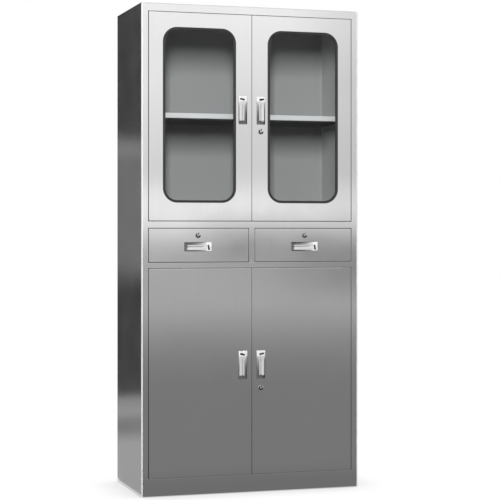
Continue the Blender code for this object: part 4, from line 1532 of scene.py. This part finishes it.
@dataclass(frozen=True)
class Card:
    """Studio card that only gloss sees, with soft bands across one of its axes."""

    name: str
    corners: tuple[tuple[float, float, float], ...]
    glow: float
    bands: tuple[Band, ...] = ()
    axis: str = "Z"
    dim: tuple[float, float, float] | None = None  # x where dimming starts and stops, and the share left

    def build(self) -> None:
        """Make the card.

        Its brightness is the glow plus, for each band, the gain times a smooth step that is one within half
        of the band's middle and falls to nothing over its soft edge, and where the band has a ramp times a
        smooth step along x, all times the share that dims with x.
        """
        corners = np.array(self.corners, float)
        piece = make_piece(self.name, [Shell(corners, [np.arange(len(corners))[None]])], None)
        material, tree, output = bare_material(f"{self.name}_paper")
        place = add_node(tree, "ShaderNodeTexCoord").outputs["Object"]
        spot = add_node(tree, "ShaderNodeSeparateXYZ", {"Vector": place})
        total: float | bpy.types.NodeSocket = self.glow
        for band in self.bands:
            away = add_node(
                tree, "ShaderNodeMath", {0: spot.outputs[self.axis], 1: band.middle}, operation="SUBTRACT"
            )
            away = add_node(tree, "ShaderNodeMath", {0: away.outputs[0]}, operation="ABSOLUTE")
            step = add_node(
                tree,
                "ShaderNodeMapRange",
                {
                    "Value": away.outputs[0],
                    "From Min": band.half,
                    "From Max": band.half + band.soft,
                    "To Min": band.gain,
                    "To Max": 0.0,
                },
                interpolation_type="SMOOTHSTEP",
            )
            part = step.outputs["Result"]
            if band.ramp:
                start, end = band.ramp
                grown = add_node(
                    tree,
                    "ShaderNodeMapRange",
                    {"Value": spot.outputs["X"], "From Min": start, "From Max": end},
                    interpolation_type="SMOOTHSTEP",
                )
                part = add_node(
                    tree, "ShaderNodeMath", {0: part, 1: grown.outputs["Result"]}, operation="MULTIPLY"
                ).outputs[0]
            total = add_node(tree, "ShaderNodeMath", {0: total, 1: part}, operation="ADD").outputs[0]
        if self.dim:
            start, end, left = self.dim
            share = add_node(
                tree,
                "ShaderNodeMapRange",
                {
                    "Value": spot.outputs["X"],
                    "From Min": start,
                    "From Max": end,
                    "To Min": 1.0,
                    "To Max": left,
                },
            )
            total = add_node(
                tree, "ShaderNodeMath", {0: total, 1: share.outputs["Result"]}, operation="MULTIPLY"
            ).outputs[0]
        shine = add_node(tree, "ShaderNodeEmission", {"Color": linear(WHITE), "Strength": total})
        tree.links.new(shine.outputs["Emission"], output.inputs["Surface"])
        piece.data.materials.append(material)
        for ray in ("camera", "diffuse", "transmission", "shadow"):
            setattr(piece, f"visible_{ray}", False)


@dataclass(frozen=True)
class Studio:
    """White studio: floor, world, soft lamps, and cards that only the steel sees."""

    front: float  # y of the front of the cabinet
    side: float  # x of its right side
    ambient: float = 0.08  # strength of the world for diffuse light
    floor_reach: float = 30.0
    wall_away: float = 16.0
    flag_away: float = 3.25
    aside: float = 3.6
    card_lift: float = 3 * MM  # of the cards that lie on the floor
    card_height: float = 2.8

    def seen(self, tree: bpy.types.NodeTree) -> bpy.types.NodeSocket:
        """Share that is one for rays from the camera, gloss and glass, and nothing for diffuse light."""
        path = add_node(tree, "ShaderNodeLightPath").outputs
        direct = add_node(
            tree, "ShaderNodeMath", {0: path["Is Camera Ray"], 1: path["Is Glossy Ray"]}, operation="MAXIMUM"
        )
        through = path["Is Transmission Ray"]
        both = add_node(tree, "ShaderNodeMath", {0: direct.outputs[0], 1: through}, operation="MAXIMUM")
        return both.outputs[0]

    def floor(self) -> None:
        """Pale floor that is white to the camera and to gloss, and darker where the cabinet shades it."""
        half = self.floor_reach
        corners = np.array([(-half, -half, 0), (half, -half, 0), (half, half, 0), (-half, half, 0)], float)
        piece = make_piece("studio_floor", [Shell(corners, [np.array([[0, 1, 2, 3]])])], None)
        material, tree, output = bare_material("white_paper_floor")
        shade = add_node(tree, "ShaderNodeAmbientOcclusion", {"Distance": 0.18}, samples=12)
        soft = add_node(
            tree,
            "ShaderNodeMapRange",
            {"Value": shade.outputs["AO"], "From Min": 0.3, "From Max": 0.9, "To Min": 0.72, "To Max": 1.0},
        )
        paper = add_node(tree, "ShaderNodeBsdfDiffuse", {"Color": linear("#5A5A5A")})
        white = add_node(
            tree, "ShaderNodeEmission", {"Color": linear(WHITE), "Strength": soft.outputs["Result"]}
        )
        mixed = add_node(
            tree,
            "ShaderNodeMixShader",
            {0: self.seen(tree), 1: paper.outputs["BSDF"], 2: white.outputs["Emission"]},
        )
        tree.links.new(mixed.outputs["Shader"], output.inputs["Surface"])
        piece.data.materials.append(material)

    def world(self) -> None:
        """World that is white to the camera, gloss and glass, and dimmer as light."""
        world = bpy.data.worlds.new("studio_world")
        world.use_nodes = True
        tree = world.node_tree
        tree.nodes.clear()
        dim = add_node(tree, "ShaderNodeBackground", {"Color": linear(WHITE), "Strength": self.ambient})
        white = add_node(tree, "ShaderNodeBackground", {"Color": linear(WHITE), "Strength": 1.0})
        mixed = add_node(
            tree, "ShaderNodeMixShader", {0: self.seen(tree), 1: dim.outputs[0], 2: white.outputs[0]}
        )
        output = add_node(tree, "ShaderNodeOutputWorld")
        tree.links.new(mixed.outputs["Shader"], output.inputs["Surface"])
        bpy.context.scene.world = world

    def lamp(
        self,
        name: str,
        place: tuple[float, float, float],
        target: tuple[float, float, float],
        size: tuple[float, float],
        glow: float,
    ) -> None:
        """Soft rectangular lamp for diffuse light, hidden from gloss, which sees the cards instead.

        Args:
            name: Name of the lamp.
            place: Where it stands.
            target: Where it points.
            size: Width and height of its face.
            glow: Brightness of the face, which gives its power as glow times pi times its area.
        """
        data = bpy.data.lights.new(name, "AREA")
        data.shape = "RECTANGLE"
        data.size, data.size_y = size
        data.energy = glow * math.pi * size[0] * size[1]
        piece = bpy.data.objects.new(name, data)
        away = np.subtract(place, target)
        piece.location = place
        level = math.hypot(away[0], away[1])
        piece.rotation_euler = (math.atan2(level, away[2]), 0.0, math.atan2(away[0], -away[1]))
        piece.visible_camera = False
        piece.visible_glossy = False
        bpy.context.scene.collection.objects.link(piece)

    def front_cards(self) -> list[Card]:
        """Wall far in front in two heights, and the grey floor before it, paler on the left."""
        wall, lift, front = -self.wall_away, self.card_lift, self.front
        left, right, high, top = -8.0, 12.0, 4.8, 9.0
        return [
            Card(
                "front_wall_card",
                ((left, wall, 0), (right, wall, 0), (right, wall, high), (left, wall, high)),
                0.60,
                (
                    Band(middle=1.28, half=0.05, soft=0.50, gain=0.80),
                    Band(middle=5.60, half=3.65, soft=0.70, gain=0.38),
                    Band(middle=6.10, half=1.40, soft=2.90, gain=0.48),
                    Band(middle=2.60, half=0.30, soft=0.80, gain=0.12, ramp=(4.4, 3.4)),
                    Band(middle=0.95, half=0.02, soft=0.35, gain=0.12, ramp=(4.7, 3.6)),
                    Band(middle=0.90, half=0.10, soft=0.35, gain=-0.32, ramp=(3.9, 4.75)),
                    Band(middle=0.90, half=0.10, soft=0.35, gain=0.09, ramp=(4.8, 5.4)),
                    Band(middle=0.90, half=0.10, soft=0.35, gain=0.16, ramp=(5.7, 6.4)),
                    Band(middle=0.45, half=0.05, soft=0.45, gain=-0.18, ramp=(4.7, 6.3)),
                    Band(middle=3.60, half=0.50, soft=0.40, gain=-0.12, ramp=(5.5, 6.4)),
                ),
                dim=(5.3, 6.6, 0.86),
            ),
            Card(
                "front_floor_card",
                ((left, wall, lift), (right, wall, lift), (right, front, lift), (left, front, lift)),
                0.285,
                (
                    Band(middle=-19.0, half=3.0, soft=12.5, gain=0.35),
                    Band(middle=front, half=0.1, soft=0.6, gain=-0.045),
                    Band(middle=-8.0, half=9.0, soft=0.5, gain=0.24, ramp=(-0.6, -4.5)),
                ),
                axis="Y",
            ),
            Card(
                "upper_wall_card",
                ((-right, wall, high), (right, wall, high), (right, wall, top), (-right, wall, top)),
                0.50,
            ),
        ]

    def side_card(self, hand: Hand) -> Card:
        """Grey card beside the cabinet."""
        aside, near, far, tall = hand.value * self.aside, self.front - 0.6, self.flag_away, self.card_height
        return Card(
            f"{hand.word}_side_card",
            ((aside, near, 0), (aside, far, 0), (aside, far, tall), (aside, near, tall)),
            0.24,
            (Band(middle=2.2, half=0.3, soft=1.8, gain=0.16),),
        )

    def rear_cards(self) -> list[Card]:
        """Dark flag behind the left side with lighter bands across it, and the grey floor before it."""
        away, lift, tall, front = self.flag_away, self.card_lift, self.card_height, self.front
        side, inner, outer = -self.side - 0.01, -0.75, -1.7
        return [
            Card(
                "left_flag",
                ((inner, away, 0), (outer, away, 0), (outer, away, tall), (inner, away, tall)),
                0.045,
                (
                    Band(middle=1.07, half=0.26, soft=0.20, gain=0.14),
                    Band(middle=1.46, half=0.01, soft=0.09, gain=0.16),
                    Band(middle=3.05, half=0.30, soft=0.50, gain=0.55),
                ),
            ),
            Card(
                "left_flag_floor_card",
                ((side, front, lift), (outer, away, lift), (inner, away, lift), (side, -front, lift)),
                0.44,
                (
                    Band(middle=1.9, half=0.1, soft=0.6, gain=-0.2),
                    Band(middle=3.3, half=0.5, soft=0.4, gain=-0.10),
                ),
                axis="Y",
            ),
        ]

    def build(self) -> None:
        """Set up the floor, the world, the lamps and the cards."""
        self.world()
        self.floor()
        self.lamp("front_softbox", (-1.75, -5.6, 2.6), (0.0, 0.0, 1.4), (0.5, 1.6), 140.0)
        self.lamp("left_softbox", (-3.4, -2.3, 2.8), (0.0, 0.0, 1.3), (1.0, 1.2), 3.0)
        self.lamp("top_softbox", (0.0, -0.3, 5.0), (0.0, 0.0, 1.3), (2.0, 1.2), 8.0)
        self.lamp("rear_softbox", (1.2, 5.0, 2.4), (0.0, 0.0, 1.0), (2.4, 2.0), 9.0)
        for card in [*self.front_cards(), *map(self.side_card, Hand), *self.rear_cards()]:
            card.build()


@dataclass(frozen=True)
class Viewpoint:
    """Camera at the photograph's place."""

    place: tuple[float, float, float] = (-1.7607, -5.7998, 0.9679)
    yaw: float = 17.386  # degrees towards the right
    lens: float = 113.95
    shift: float = -0.0374

    def build(self) -> None:
        """Create the level camera and make it the scene's own."""
        data = bpy.data.cameras.new("viewpoint")
        data.lens = self.lens
        data.sensor_width = 36.0
        data.shift_y = self.shift
        data.clip_end = 200.0
        piece = bpy.data.objects.new("viewpoint", data)
        piece.location = self.place
        piece.rotation_euler = (math.pi / 2, 0.0, -math.radians(self.yaw))
        bpy.context.scene.collection.objects.link(piece)
        bpy.context.scene.camera = piece


def main() -> None:
    """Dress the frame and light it."""
    logging.basicConfig(level=logging.INFO, format="%(name)s: %(message)s")
    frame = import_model()
    bpy.context.scene.view_settings.view_transform = "Standard"
    Viewpoint().build()
    plane = Extent.of("upper_left_door_frame").low[1]
    sides = Extent.of("right_side_panel")
    Cabinet(Finishes.build(plane), frame["nodes"]).build()
    Studio(sides.low[1], sides.high[0]).build()
    bpy.context.view_layer.update()


if __name__ == "__main__":
    main()
